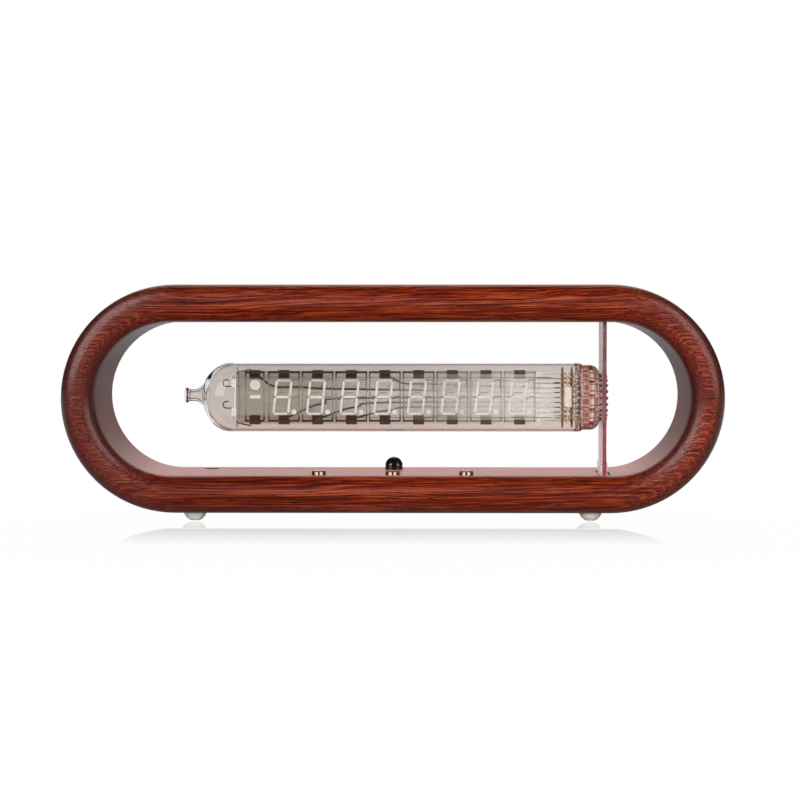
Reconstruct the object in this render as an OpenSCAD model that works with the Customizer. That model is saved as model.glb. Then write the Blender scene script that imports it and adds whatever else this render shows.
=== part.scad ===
// Desk clock: a long vacuum fluorescent tube held on a small upright board inside a wooden loop.
// Millimetres. X runs along the loop, Y from front to back, Z up from the table.

/* [Wooden loop] */
// Length of the loop
frame_length = 180; // [172:1:200]
// Height of the loop without its feet
frame_height = 62; // [58:1:72]
// Depth of the loop from front to back
frame_depth = 44; // [43:1:52]
// Thickness of the top and bottom rails
rail_thickness = 10.2; // [10:0.1:12]
// Thickness of the loop at the middle of its round ends
end_thickness = 9.3; // [9.2:0.1:12]
// Radius rounded onto the front and rear edges
edge_radius = 4.6; // [3:0.1:4.6]
// Wood left above the electronics pocket
roof_thickness = 2.6; // [2:0.1:3]
// Thickness of the bottom cover
cover_thickness = 1.6; // [1.2:0.1:1.8]

/* [Feet] */
// Height of a rubber foot
foot_height = 2.3; // [1.5:0.1:4]
// Diameter of a foot where it is stuck on
foot_diameter = 6.4; // [5:0.1:8]
// Diameter of the small flat a foot stands on
foot_contact = 2.6; // [2:0.1:3.6]
// Distance of a foot from the end of the bottom cover
foot_inset = 5.5; // [4.5:0.1:9]

/* [Buttons] */
// Diameter of a brass button
button_diameter = 3.8; // [3:0.1:4.2]
// Height of a button above the wood
button_rise = 1.1; // [0.8:0.1:2]
// Distance between neighbouring buttons
button_pitch = 20.1; // [12:0.1:22]
// Distance of the buttons behind the rounded front edge
button_setback = 3; // [3:0.1:5]
// How far a button can be pressed
button_travel = 0.3; // [0.2:0.05:0.4]

/* [Tube] */
// Outside diameter of the glass tube
tube_diameter = 19; // [18.6:0.1:21]
// Thickness of the glass wall
glass_wall = 0.9; // [0.6:0.05:1.1]
// Length of the tube from its sealed tip to the end of its base
tube_length = 114.4; // [114:0.2:118]
// Distance of the tube axis in front of the middle of the loop
tube_offset = 4.3; // [0:0.1:4.5]
// Number of wires through the glass base
pin_count = 22; // [22:1:22]
// Diameter of the circle on which these wires stand
pin_circle = 12.6; // [12:0.1:13.4]
// Diameter of a base wire
pin_diameter = 0.5; // [0.4:0.05:0.6]

/* [Display] */
// Number of digits
digit_count = 8; // [6:1:8]
// Height of a digit
digit_height = 9.9; // [8:0.1:10.2]
// Width of a digit
digit_width = 4.7; // [4:0.1:5.4]
// Width of a segment
stroke = 0.62; // [0.5:0.02:1]
// Lean of the digits in degrees
slant_angle = 6; // [0:1:8]
// Distance between the cells of a grid
cell_pitch = 1.5; // [1.4:0.05:2.4]
// Width of the bars between the cells of a grid
cell_bar = 0.1; // [0.08:0.01:0.2]

/* [Boards] */
// Thickness of the main board
main_board_thickness = 1.2; // [1:0.1:1.4]
// Thickness of the upright tube board
tube_board_thickness = 1.05; // [0.8:0.05:1.2]
// Width of the upright tube board
tube_board_width = 17; // [16:0.5:17.5]
// Number of wires on each face of the upright board
link_count = 10; // [6:1:10]

/* [Hidden] */

// small gaps
slip = 0.02;
run = 0.15;
ease = 0.2;

// wooden loop
crest = 0.03;
outer_radius = frame_height / 2;
inner_radius = outer_radius - rail_thickness;
outer_straight = frame_length - frame_height;
inner_straight = frame_length - 2 * end_thickness - 2 * inner_radius;
middle_z = foot_height + outer_radius;
rail_top = foot_height + rail_thickness;
ceiling_z = foot_height + frame_height - rail_thickness;
edge_y = frame_depth / 2 + crest - edge_radius;
flat_y = frame_depth / 2 - edge_radius;

// pocket in the bottom rail
roof_z = rail_top - roof_thickness;
cover_top = foot_height + cover_thickness;
cover_half = outer_straight / 2 + 0.5;
cover_y = flat_y - 0.3;
pocket_y = cover_y - 0.7;
pocket_left = -cover_half + 3;
pocket_right = cover_half - 8.6;
screw_hole = 1.8;
screw_head = 3.5;
screw_sink = 0.9;
screw_length = 6;
cross_length = 1.8;
cross_width = 0.3;
boss_x = cover_half - 15.5;
boss_width = 7;
boss_inner = pocket_y - 6.9;
screw_y = pocket_y - 3.4;
button_y = -(flat_y - button_setback);
sensor_y = flat_y - 6.3;
sound_hole_x = -(cover_half - 8);
sound_hole_y = flat_y - 7.1;

// main board
board_bottom = cover_top + 0.6;
board_top = board_bottom + main_board_thickness;
board_half = boss_x - boss_width / 2 - 0.7;
board_y = pocket_y - 0.4;
standoff_diameter = 4;
peg_diameter = 2.4;
peg_length = 1.2;
standoff_x = board_half - standoff_diameter / 2 - 1.8;
standoff_y = board_y - standoff_diameter / 2 - 2;

// upright board and the tube on it
tube_y = -tube_offset;
slot_right = inner_straight / 2 - 0.3;
board_right = min(slot_right, cover_half) - 1.15;
board_left = board_right - tube_board_thickness;
slot_left = board_left - 1;
slot_half = tube_board_width / 2 + 0.15;
tube_end = board_left - 0.45;
groove_depth = 2;
pin_reach = 2.1;
tube_radius = tube_diameter / 2;
bore_radius = tube_radius - glass_wall;
base_radius = tube_radius - 0.5;
base_length = 5.5;
base_corner = 2.6;
dome_depth = 6.6;
knuckle = 5;
tip_rise = 0.55;

// stations inside the tube, measured from the outer end of its base
second_x = -base_length - 2.15;
first_x = second_x - 2.6;
disc_thickness = 0.3;
disc_radius = bore_radius - 0.25;
plate_right = first_x - 6.1;
tip_room = 14.12;
symbol_inset = 5.2;
symbol_step = 8.05;
last_inset = 5.65;
plate_left = tip_room - tube_length;
spacer_x = plate_left + 0.4;
symbol_x = plate_left + symbol_inset;
first_digit_x = symbol_x + symbol_step;
last_digit_x = plate_right - last_inset;
digit_pitch = (last_digit_x - first_digit_x) / (digit_count - 1);
point_x = digit_width / 2 + 0.85;
plate_front = 0.6;
plate_back = 1.5;
plate_half = 7.3;
grid_front = -0.72;
grid_back = -0.6;
grid_height = 13.9;
grid_width = digit_pitch - 0.59;
symbol_width = 5.4;
clip_width = 3;
clip_sheet = 0.15;
segment_front = plate_front - 0.08;
filament_v = 5.5;
filament_w = -2;
filament_thickness = 0.12;
lead_thickness = 0.46;
front_lead_w = plate_front - lead_thickness / 2 - slip;
back_lead_w = plate_back + lead_thickness / 2 + slip;
front_pitch = 1.365;
back_pitch = 1.3;
pin_step = 360 / pin_count;

// wooden loop

module around_loop(straight) {
    for (side = [1, -1]) {
        translate([side * straight / 2, 0, middle_z])
            rotate([90, 0, 0])
            rotate([0, 0, -90 * side])
            rotate_extrude(angle = 180, $fn = 96) children();
        translate([0, 0, middle_z])
            rotate([0, -90 * side, 0])
            linear_extrude(straight, center = true) children();
    }
}

module loop_outside() {
    difference() {
        translate([0, -frame_depth / 2]) square([outer_radius, frame_depth]);
        for (side = [0, 1]) mirror([0, side]) difference() {
            translate([outer_radius - edge_radius, edge_y]) square(edge_radius + 1);
            translate([outer_radius - edge_radius, edge_y]) circle(edge_radius, $fn = 64);
        }
    }
}

module loop_window() {
    translate([0, -edge_y]) square([inner_radius, 2 * edge_y]);
    for (side = [0, 1]) mirror([0, side]) difference() {
        translate([0, edge_y]) square([inner_radius + edge_radius, edge_radius + 1]);
        translate([inner_radius + edge_radius, edge_y]) circle(edge_radius, $fn = 64);
    }
}

module box(x, y, z) {
    translate([x[0], y[0], z[0]]) cube([x[1] - x[0], y[1] - y[0], z[1] - z[0]]);
}

module at_cover_screws() {
    for (x = [-boss_x, boss_x], y = [-screw_y, screw_y]) translate([x, y, foot_height]) children();
}

module at_standoffs() {
    for (x = [-standoff_x, standoff_x], y = [-standoff_y, standoff_y]) translate([x, y, 0]) children();
}

module pocket() {
    difference() {
        box([pocket_left, pocket_right], [-pocket_y, pocket_y], [foot_height - 1, roof_z]);
        for (x = [-boss_x, boss_x], side = [0, 1]) mirror([0, side])
            box([x - boss_width / 2, x + boss_width / 2], [boss_inner, pocket_y + 1], [0, roof_z + 1]);
    }
    box([pocket_right - 1, slot_right], [tube_y - slot_half, tube_y + slot_half], [foot_height - 1, roof_z]);
    box([-cover_half - ease, cover_half + ease], [-cover_y - ease, cover_y + ease], [foot_height - 1, cover_top]);
}

sensor_radius = 2.45;
socket_width = 8.94;
socket_height = 3.2;
socket_z = board_top + socket_height / 2;

module socket_outline(grow) {
    radius = socket_height / 2 + grow;
    reach = socket_width / 2 - socket_height / 2;
    translate([-reach, -radius]) square([2 * reach, 2 * radius]);
    for (side = [-1, 1]) translate([side * reach, 0]) circle(radius, $fn = 48);
}

module wood_frame() {
    color("saddlebrown") difference() {
        around_loop(outer_straight) loop_outside();
        around_loop(inner_straight) loop_window();
        pocket();
        box([slot_left, slot_right], [tube_y - slot_half, tube_y + slot_half], [roof_z - 1, rail_top + 1]);
        box([board_left - 0.1, board_right + 0.1], [tube_y - slot_half, tube_y + slot_half],
            [ceiling_z - 1, ceiling_z + groove_depth]);
        for (place = [-1:1]) translate([place * button_pitch, button_y, 0]) {
            cylinder(d = button_diameter + 2 * run, h = rail_top + 1, $fn = 48);
            cylinder(r = flange_radius + ease, h = roof_z, $fn = 48);
        }
        translate([0, sensor_y, 0]) cylinder(r = sensor_radius + run, h = rail_top + 1, $fn = 48);
        translate([sound_hole_x, sound_hole_y, 0]) cylinder(d = 4, h = rail_top + 1, $fn = 48);
        translate([0, pocket_y - 1, socket_z]) rotate([-90, 0, 0]) linear_extrude(frame_depth) socket_outline(ease);
        at_cover_screws() cylinder(d = screw_hole, h = screw_length + 0.4, $fn = 32);
        at_standoffs() cylinder(d = peg_diameter, h = roof_z + peg_length + ease, $fn = 32);
    }
}

module bottom_cover() {
    color("tan") difference() {
        box([-cover_half, cover_half], [-cover_y, cover_y], [foot_height, cover_top]);
        at_cover_screws() {
            translate([0, 0, -1]) cylinder(d = screw_hole + 0.4, h = cover_thickness + 2, $fn = 32);
            translate([0, 0, -slip])
                cylinder(d1 = screw_head + ease, d2 = screw_hole + 0.4, h = screw_sink, $fn = 32);
        }
    }
}

module cover_screws() {
    color("silver") at_cover_screws() difference() {
        union() {
            cylinder(d1 = screw_head, d2 = screw_hole - 2 * slip, h = screw_sink, $fn = 32);
            translate([0, 0, screw_sink / 2])
                cylinder(d = screw_hole - 2 * slip, h = screw_length - screw_sink / 2, $fn = 32);
        }
        for (turn = [0, 90]) rotate(turn)
            translate([-cross_length / 2, -cross_width / 2, -0.1])
            cube([cross_length, cross_width, screw_sink / 2 + 0.1]);
    }
}

foot_rise = (foot_diameter * foot_diameter / 4 + foot_height * foot_height - foot_contact * foot_contact / 4)
    / (2 * foot_height);
foot_ball = sqrt(foot_contact * foot_contact / 4 + foot_rise * foot_rise);

module foot(x, y) {
    color("gainsboro") translate([x, y, 0]) intersection() {
        translate([0, 0, foot_rise]) sphere(foot_ball, $fn = 64);
        translate([0, 0, foot_height / 2]) cube([2 * foot_diameter, 2 * foot_diameter, foot_height], center = true);
    }
}

foot_x = cover_half - foot_inset;
foot_y = flat_y - 4.6;
module front_left_foot() { foot(-foot_x, -foot_y); }
module front_right_foot() { foot(foot_x, -foot_y); }
module rear_left_foot() { foot(-foot_x, foot_y); }
module rear_right_foot() { foot(foot_x, foot_y); }

// buttons and their switches

flange_radius = button_diameter / 2 + 0.6;
flange_thickness = 0.7;
flange_top = roof_z - run;
flange_bottom = flange_top - flange_thickness;
switch_height = 1.8;
switch_top = board_top + switch_height;
plate_thickness = 0.25;
plunger_radius = 0.9;
collar_top = switch_top - 0.1;
collar_bottom = collar_top - 0.45;

module at_button(place) {
    translate([place * button_pitch, button_y, 0]) children();
}

module button(place) {
    bevel = 0.25;
    radius = button_diameter / 2;
    color("gold") at_button(place) rotate_extrude($fn = 64) polygon([
        [0, flange_bottom], [flange_radius, flange_bottom], [flange_radius, flange_top], [radius, flange_top],
        [radius, rail_top + button_rise - bevel], [radius - bevel, rail_top + button_rise],
        [0, rail_top + button_rise]
    ]);
}

module plunger(place) {
    color("ivory") at_button(place) rotate_extrude($fn = 48) polygon([
        [0, collar_bottom], [plunger_radius + 0.3, collar_bottom], [plunger_radius + 0.3, collar_top],
        [plunger_radius, collar_top], [plunger_radius, flange_bottom], [0, flange_bottom]
    ]);
}

module left_button() { button(-1); }
module middle_button() { button(0); }
module right_button() { button(1); }
module left_plunger() { plunger(-1); }
module middle_plunger() { plunger(0); }
module right_plunger() { plunger(1); }

module switch_bodies() {
    color("dimgray") for (place = [-1:1]) at_button(place) difference() {
        box([-3, 3], [-1.75, 1.75], [board_top, switch_top]);
        translate([0, 0, collar_bottom - button_travel - 0.15])
            cylinder(r = plunger_radius + 0.45, h = 3, $fn = 48);
    }
}

module switch_plates() {
    color("silver") for (place = [-1:1]) at_button(place) difference() {
        box([-3, 3], [-1.75, 1.75], [switch_top, switch_top + plate_thickness]);
        translate([0, 0, board_top]) cylinder(r = plunger_radius + run, h = 4, $fn = 48);
    }
}

// main board and what is soldered to it

link_pitch = (tube_board_width - 4.4) / (link_count - 1);
link_size = 0.4;
link_x = [board_left - slip - link_size / 2, board_right + slip + link_size / 2];

module at_links() {
    for (x = link_x, place = [0:link_count - 1])
        translate([x, tube_y + (place - (link_count - 1) / 2) * link_pitch, 0]) children();
}

module main_board() {
    neck_y = [max(-boss_inner + 0.4, tube_y - slot_half + 0.4), tube_y + slot_half - 0.4];
    color("seagreen") difference() {
        union() {
            box([-board_half, board_half], [-board_y, board_y], [board_bottom, board_top]);
            box([board_half - 1, pocket_right + 0.5], neck_y, [board_bottom, board_top]);
            box([pocket_right + 0.3, slot_right - 0.3],
                [tube_y - slot_half + 0.4, tube_y + slot_half - 0.4], [board_bottom, board_top]);
        }
        at_links() cylinder(d = link_size * 1.6, h = 2 * board_top, center = true, $fn = 24);
        at_standoffs() cylinder(d = 1.8, h = 2 * board_top, center = true, $fn = 32);
        for (x = [-1.27, 0, 1.27]) translate([x, sensor_y, 0])
            cylinder(d = 0.8, h = 2 * board_top, center = true, $fn = 24);
    }
}

module board_standoffs() {
    color("goldenrod") at_standoffs() difference() {
        union() {
            translate([0, 0, board_top]) cylinder(d = standoff_diameter, h = roof_z - board_top, $fn = 6);
            translate([0, 0, roof_z - 0.5]) cylinder(d = peg_diameter - 2 * slip, h = peg_length + 0.5, $fn = 32);
        }
        translate([0, 0, board_top - 1]) cylinder(d = 1.6, h = 4, $fn = 32);
    }
}

module board_screws() {
    color("silver") at_standoffs() difference() {
        union() {
            translate([0, 0, board_bottom - 0.5]) cylinder(d = 3.4, h = 0.5, $fn = 32);
            translate([0, 0, board_bottom - 0.3])
                cylinder(d = 1.56, h = main_board_thickness + 2.6, $fn = 32);
        }
        for (turn = [0, 90]) rotate(turn) translate([-0.8, -0.15, board_bottom - 0.6]) cube([1.6, 0.3, 0.35]);
    }
}

sensor_seat = roof_z - 0.15;
sensor_rise = 3.4;
module remote_sensor() {
    straight_top = rail_top + sensor_rise - sensor_radius;
    color("black") translate([0, sensor_y, 0]) {
        translate([0, 0, sensor_seat - 1]) cylinder(r = sensor_radius + 0.45, h = 1, $fn = 64);
        rotate_extrude($fn = 64) {
            translate([0, sensor_seat - 0.5]) square([sensor_radius, straight_top - sensor_seat + 0.5]);
            translate([0, straight_top]) intersection() {
                circle(sensor_radius, $fn = 64);
                square(sensor_radius);
            }
        }
    }
}

module sensor_legs() {
    color("silver") for (x = [-1.27, 0, 1.27])
        box([x - 0.2, x + 0.2], [sensor_y - 0.2, sensor_y + 0.2], [board_bottom - 0.3, sensor_seat - 1]);
}

// places along the main board are shares of its half length
buzzer_x = -0.68 * board_half;
buzzer_y = 5;
module buzzer() {
    height = roof_z - board_top - 0.4;
    color("darkslategray") translate([buzzer_x, buzzer_y, board_top]) difference() {
        cylinder(d = 9, h = height, $fn = 64);
        translate([0, 0, height - 1]) cylinder(d = 2, h = 2, $fn = 32);
    }
}

socket_length = 7.4;
socket_mouth = frame_depth / 2 - 0.4;
module socket_shell() {
    color("silver") translate([0, socket_mouth, socket_z]) rotate([90, 0, 0]) difference() {
        linear_extrude(socket_length) socket_outline(0);
        translate([0, 0, -1]) linear_extrude(socket_length + 0.7) socket_outline(-0.3);
    }
}

module socket_tongue() {
    color("black") translate([0, socket_mouth - socket_length + 0.3, socket_z]) {
        rotate([-90, 0, 0]) linear_extrude(1.2) socket_outline(-0.3 - slip);
        box([-3.35, 3.35], [1, 6.2], [-0.35, 0.35]);
    }
}

module chip(x, y, length, width, height, legs) {
    pitch = (length - 1) / (legs - 1);
    translate([x, y, board_top]) {
        box([-length / 2, length / 2], [-width / 2, width / 2], [0.1, height]);
        for (side = [0, 1], place = [0:legs - 1]) mirror([0, side]) {
            step = (place - (legs - 1) / 2) * pitch;
            box([step - 0.18, step + 0.18], [width / 2 - 0.1, width / 2 + 0.5], [height / 2 - 0.1, height / 2 + 0.1]);
            box([step - 0.18, step + 0.18], [width / 2 + 0.35, width / 2 + 0.55], [0, height / 2 + 0.1]);
            box([step - 0.18, step + 0.18], [width / 2 + 0.35, width / 2 + 1], [0, 0.2]);
        }
    }
}

module controller_chip() { color("black") chip(-0.3 * board_half, -2, 9, 5.3, 1.6, 10); }
module driver_chip() { color("black") chip(0.1 * board_half, button_y + 7.4, 12.8, 7.5, 2.4, 10); }
module clock_chip() { color("black") chip(0.53 * board_half, -6.5, 4.9, 3.9, 1.5, 4); }

module crystal() {
    color("silver") translate([-0.3 * board_half, 6, board_top]) {
        box([-2.5, 2.5], [-1.6, 1.6], [0, 0.9]);
        box([-2.1, 2.1], [-1.2, 1.2], [0.8, 1.1]);
    }
}

cell_radius = 6.25;
cell_floor = 0.6;
holder_half = cell_radius + 0.75;
holder_height = 2.4;
cell_x = standoff_x - standoff_diameter / 2 - holder_half - 0.6;
cell_y = 5;
module coin_cell() {
    color("silver") translate([cell_x, cell_y, board_top + cell_floor]) {
        cylinder(r = cell_radius, h = 1.6, $fn = 64);
        translate([0, 0, 1.5]) cylinder(r = cell_radius - 0.8, h = 0.5, $fn = 64);
    }
}

module cell_holder() {
    color("dimgray") translate([cell_x, cell_y, board_top]) difference() {
        box([-holder_half, holder_half], [-holder_half, holder_half], [0, holder_height]);
        translate([0, 0, cell_floor]) cylinder(r = cell_radius + run, h = holder_height, $fn = 64);
        box([-2.5, 2.5], [-holder_half - 1, 0], [cell_floor, holder_height + 1]);
    }
}

module boost_coil() {
    color("darkslategray") translate([-0.65 * board_half, -5.5, board_top]) {
        box([-3, 3], [-3, 3], [0, 0.7]);
        translate([0, 0, 0.6]) cylinder(d = 4.6, h = 2.2, $fn = 48);
        translate([0, 0, 2.6]) cylinder(d = 5.8, h = 0.8, $fn = 48);
    }
}

capacitor_diameter = 4;
capacitor_height = 3.6;
capacitor_foot = 0.6;
module capacitors() {
    half = capacitor_diameter / 2 + 0.1;
    rear_y = sensor_y - 0.6;
    step = 2 * half + 1.3;
    color("silver") for (place = [[-0.9, -4], [-0.9, 2], [0.2, rear_y - step], [0.2, rear_y]])
        translate([place[0] * board_half, place[1], board_top]) {
            box([-half, half], [-half, half], [0, capacitor_foot]);
            translate([0, 0, capacitor_foot / 2])
                cylinder(d = capacitor_diameter, h = capacitor_height - capacitor_foot / 2, $fn = 48);
        }
}

// upright board

module at_pins() {
    for (place = [0:pin_count - 1])
        translate([0, tube_y, middle_z])
            translate(pin_circle / 2 * [0, -cos(place * pin_step), sin(place * pin_step)])
            rotate([0, 90, 0]) children();
}

module tube_board() {
    color("firebrick") difference() {
        box([board_left, board_right], [tube_y - tube_board_width / 2, tube_y + tube_board_width / 2],
            [board_top, ceiling_z + groove_depth - 0.2]);
        at_pins() cylinder(d = pin_diameter + 0.14, h = board_right + 1, $fn = 24);
    }
}

module link_strips() {
    half = tube_board_width / 2 - 1.4;
    color("black") difference() {
        union() {
            box([board_left - 1.2, board_left - slip], [tube_y - half, tube_y + half], [board_top, board_top + 2.4]);
            box([board_right + slip, board_right + 0.8], [tube_y - half, tube_y + half],
                [board_top, board_top + 2.4]);
        }
        at_links() cube([link_size + 2 * slip, link_size + 2 * slip, 4 * board_top], center = true);
    }
}

module link_pins() {
    color("silver") at_links() translate([0, 0, (board_bottom - 0.4 + rail_top + 3.2) / 2])
        cube([link_size, link_size, rail_top + 3.2 - board_bottom + 0.4], center = true);
}

module pin_solder() {
    color("silver") difference() {
        translate([board_right, 0, 0]) at_pins() cylinder(d1 = 1.15, d2 = 0.7, h = 0.55, $fn = 24);
        at_pins() cylinder(d = pin_diameter + 2 * slip, h = 2 * board_right, $fn = 24);
    }
}

// glass of the tube

module in_tube() {
    translate([tube_end, tube_y, middle_z]) children();
}

module turned() {
    rotate([0, 90, 0]) rotate_extrude($fn = 96) children();
}

module bulb(radius, crown_end, knuckle_radius, depth, right_end) {
    crown = (depth * depth - knuckle_radius * knuckle_radius + (radius - knuckle_radius) * (radius - knuckle_radius))
        / (2 * (depth - knuckle_radius));
    seat = crown_end + depth;
    centre = crown_end + crown;
    lean = atan2(radius - knuckle_radius, centre - seat);
    join_r = crown * sin(lean);
    join_x = centre - crown * cos(lean);
    steps = 10;
    polygon(concat(
        [[0, right_end], [0, crown_end]],
        [for (i = [1:steps]) [crown * sin(lean * i / steps), centre - crown * cos(lean * i / steps)]],
        [for (i = [1:steps]) let (turn = lean + (90 - lean) * i / steps)
            [radius - knuckle_radius + knuckle_radius * sin(turn), seat - knuckle_radius * cos(turn)]],
        [[radius, right_end]]
    ));
}

envelope_left = -tube_length + 5.35;
module glass_envelope() {
    color("lightcyan", 0.4) in_tube() difference() {
        union() {
            turned() bulb(tube_radius, envelope_left, knuckle, dome_depth, -base_length);
            translate([0, 0, tip_rise]) turned() polygon([
                [0, -tube_length], [1.6, -tube_length], [2.1, -tube_length + 0.5], [1.8, -tube_length + 1.3],
                [1.75, -tube_length + 4], [3.4, -tube_length + 5.5], [3.4, -tube_length + 6], [0, -tube_length + 6]
            ]);
        }
        turned() bulb(bore_radius, envelope_left + glass_wall, knuckle - glass_wall, dome_depth - glass_wall, 1);
    }
}

module glass_base() {
    color("lightcyan", 0.4) difference() {
        in_tube() turned() {
            difference() {
                translate([0, -base_length]) square([base_radius, base_length]);
                difference() {
                    translate([base_radius - base_corner, -base_corner]) square(base_corner + 1);
                    translate([base_radius - base_corner, -base_corner]) circle(base_corner, $fn = 48);
                }
            }
        }
        translate([tube_end - base_length - 1, 0, 0]) at_pins()
            cylinder(d = pin_diameter + 2 * slip, h = base_length + 2, $fn = 24);
    }
}

pin_inner = -base_length - 0.4;
module base_pins() {
    color("sienna") translate([tube_end + pin_inner, 0, 0]) at_pins()
        cylinder(d = pin_diameter, h = -pin_inner + pin_reach, $fn = 24);
}

// leads inside the tube

module rod(from, to, thickness) {
    run_out = to - from;
    flat = norm([run_out[0], run_out[1]]);
    translate(from)
        rotate([0, atan2(flat, run_out[2]), atan2(run_out[1], run_out[0])])
        cylinder(d = thickness, h = norm(run_out), $fn = 20);
}

module lead(start_x, v, w, pin) {
    pin_v = pin_circle / 2 * sin(pin * pin_step);
    pin_w = -pin_circle / 2 * cos(pin * pin_step);
    bend = [second_x + 0.45, w, v];
    tail = [pin_inner - 0.45, pin_w, pin_v];
    rod([start_x, w, v], bend, lead_thickness);
    translate(bend) sphere(d = lead_thickness, $fn = 20);
    rod(bend, tail, lead_thickness * 0.8);
    translate(tail) sphere(d = lead_thickness, $fn = 20);
    rod(tail, [pin_inner, pin_w, pin_v], lead_thickness);
}

front_half = floor((pin_count / 2 - 1) / 2);
module inner_leads() {
    color("dimgray") in_tube() {
        for (place = [1 - front_half:front_half - 1]) {
            pin = abs(place) < front_half - 1 ? place : sign(place) * front_half;
            lead(plate_right - 1, place * front_pitch, front_lead_w, pin);
        }
        for (side = [-1, 1]) lead(first_x - 3.2, side * filament_v, filament_w, side * (front_half - 1));
        for (place = [-front_half:front_half])
            lead(plate_right - 1, place * back_pitch, back_lead_w, pin_count / 2 - place);
    }
}

module lead_holes() {
    hole = lead_thickness + 0.1;
    for (place = [1 - front_half:front_half - 1])
        translate([front_lead_w, place * front_pitch]) circle(d = hole, $fn = 20);
    for (place = [-front_half:front_half])
        translate([back_lead_w, place * back_pitch]) circle(d = hole, $fn = 20);
    for (side = [-1, 1]) translate([filament_w, side * filament_v]) circle(d = hole, $fn = 20);
}

module cross_plate(x, thickness) {
    translate([x, 0, 0]) rotate([90, 0, 90]) linear_extrude(thickness, center = true) children();
}

module first_disc() {
    color("peru") in_tube() cross_plate(first_x, disc_thickness) difference() {
        circle(disc_radius, $fn = 96);
        lead_holes();
    }
}

module second_disc() {
    color("peru") in_tube() cross_plate(second_x, disc_thickness) difference() {
        circle(disc_radius, $fn = 96);
        lead_holes();
    }
}

getter_w = -3.6;
getter_rod = 0.7;
module getter() {
    gap = second_x - first_x - disc_thickness - 0.2;
    color("goldenrod") in_tube() translate([(first_x + second_x) / 2, getter_w, 0]) {
        cylinder(d = getter_rod, h = 14, center = true, $fn = 20);
        difference() {
            box([-gap / 2 - 0.1, gap / 2 + 0.1], [-0.9, 0.5], [-2.6, 3.2]);
            box([-gap / 2 + 0.25, gap / 2 - 0.25], [-1, -0.6], [-2.3, 2.9]);
        }
    }
}

// anode plate, segments, grids and filaments

module anode_plate() {
    color("whitesmoke", 0.7) in_tube()
        box([plate_left, plate_right], [plate_front, plate_back], [-plate_half, plate_half]);
}

function leaning(points) = [for (p = points) [p[0] + p[1] * tan(slant_angle), p[1]]];

module bar(from, to) {
    along = (to - from) / norm(to - from);
    across = [-along[1], along[0]] * stroke / 2;
    inset = along * stroke / 2;
    polygon(leaning([
        from, from + inset + across, to - inset + across,
        to, to - inset - across, from + inset - across
    ]));
}

module digit_shape() {
    side = (digit_width - stroke) / 2;
    top = (digit_height - stroke) / 2;
    gap = 0.12;
    for (level = [-top, 0, top]) bar([-side + gap, level], [side - gap, level]);
    for (edge = [-side, side], base = [-top, 0]) bar([edge, base + gap], [edge, base + top - gap]);
    translate([point_x, -4.15]) circle(d = 1.4, $fn = 32);
}

module on_plate(x) {
    translate([x, plate_front, 0]) rotate([90, 0, 0]) linear_extrude(plate_front - segment_front) children();
}

module anode_segments() {
    color("ivory") in_tube() {
        for (place = [0:digit_count - 1]) on_plate(last_digit_x - place * digit_pitch - 0.5) digit_shape();
        on_plate(symbol_x) {
            translate([0, 3.4]) circle(d = 2.95, $fn = 40);
            translate([-1.5, -0.35]) square([3, 0.9]);
        }
    }
}

module grid(x, width) {
    rim = 0.35;
    columns = ceil(width / cell_pitch / 2) + 1;
    rows = ceil(grid_height / cell_pitch / 1.7) + 1;
    pad = 2;
    in_tube() translate([x, 0, 0]) {
        translate([0, grid_back, 0]) rotate([90, 0, 0]) linear_extrude(grid_back - grid_front) {
            difference() {
                translate([-width / 2, -grid_height / 2]) square([width, grid_height]);
                intersection() {
                    translate([-width / 2 + rim, -grid_height / 2 + rim])
                        square([width - 2 * rim, grid_height - 2 * rim]);
                    difference() {
                        for (column = [-columns:columns], row = [-rows:rows])
                            translate([(column + abs(row) % 2 / 2) * cell_pitch, row * cell_pitch * cos(30)])
                            rotate(30) circle(d = (cell_pitch - cell_bar) / cos(30), $fn = 6);
                        for (side = [-1, 1])
                            translate([0, side * (grid_height / 2 - pad / 2)]) square([clip_width, pad], center = true);
                    }
                }
            }
        }
        for (side = [0, 1]) mirror([0, 0, side]) translate([-clip_width / 2, 0, 0])
            rotate([90, 0, 90]) linear_extrude(clip_width) polygon([
                [grid_front, grid_height / 2 - 0.3], [grid_front, plate_half + 0.05 + clip_sheet],
                [plate_back + 0.06 + clip_sheet, plate_half + 0.05 + clip_sheet],
                [plate_back + 0.06 + clip_sheet, plate_half - 0.9],
                [plate_back + 0.06, plate_half - 0.9], [plate_back + 0.06, plate_half + 0.05],
                [grid_back, plate_half + 0.05], [grid_back, grid_height / 2 - 0.3]
            ]);
    }
}

function digit_x(place) = last_digit_x - (digit_count - place) * digit_pitch;

module digit_grid(place) {
    color("slategray") if (place <= digit_count) grid(digit_x(place), grid_width);
}

module grid_0() { color("slategray") grid(symbol_x, symbol_width); }
module grid_1() { digit_grid(1); }
module grid_2() { digit_grid(2); }
module grid_3() { digit_grid(3); }
module grid_4() { digit_grid(4); }
module grid_5() { digit_grid(5); }
module grid_6() { digit_grid(6); }
module grid_7() { digit_grid(7); }
module grid_8() { digit_grid(8); }

// which edge each grid is fed from, counted from the sign, and which rear lead its wire runs to
wire_edges = [1, -1, -1, -1, 1, -1, 1, -1, 1];
wire_leads = [1, 0, -1, -2, 2, -3, 3, -4, 4];
// bends of a wire that starts at the top or the bottom edge: how far on, at most which share of its run,
// and which share of its drop is left there
top_bends = [[1.7, 0.15, 0.8], [5.3, 0.35, 0.33], [12.9, 0.6, 0.29], [24.3, 0.85, 0.19]];
bottom_bends = [[2.6, 0.15, 0.8], [5.5, 0.35, 0.57], [8.3, 0.5, 0.39], [11.4, 0.65, 0.27], [16.9, 0.85, 0.06]];

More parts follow.
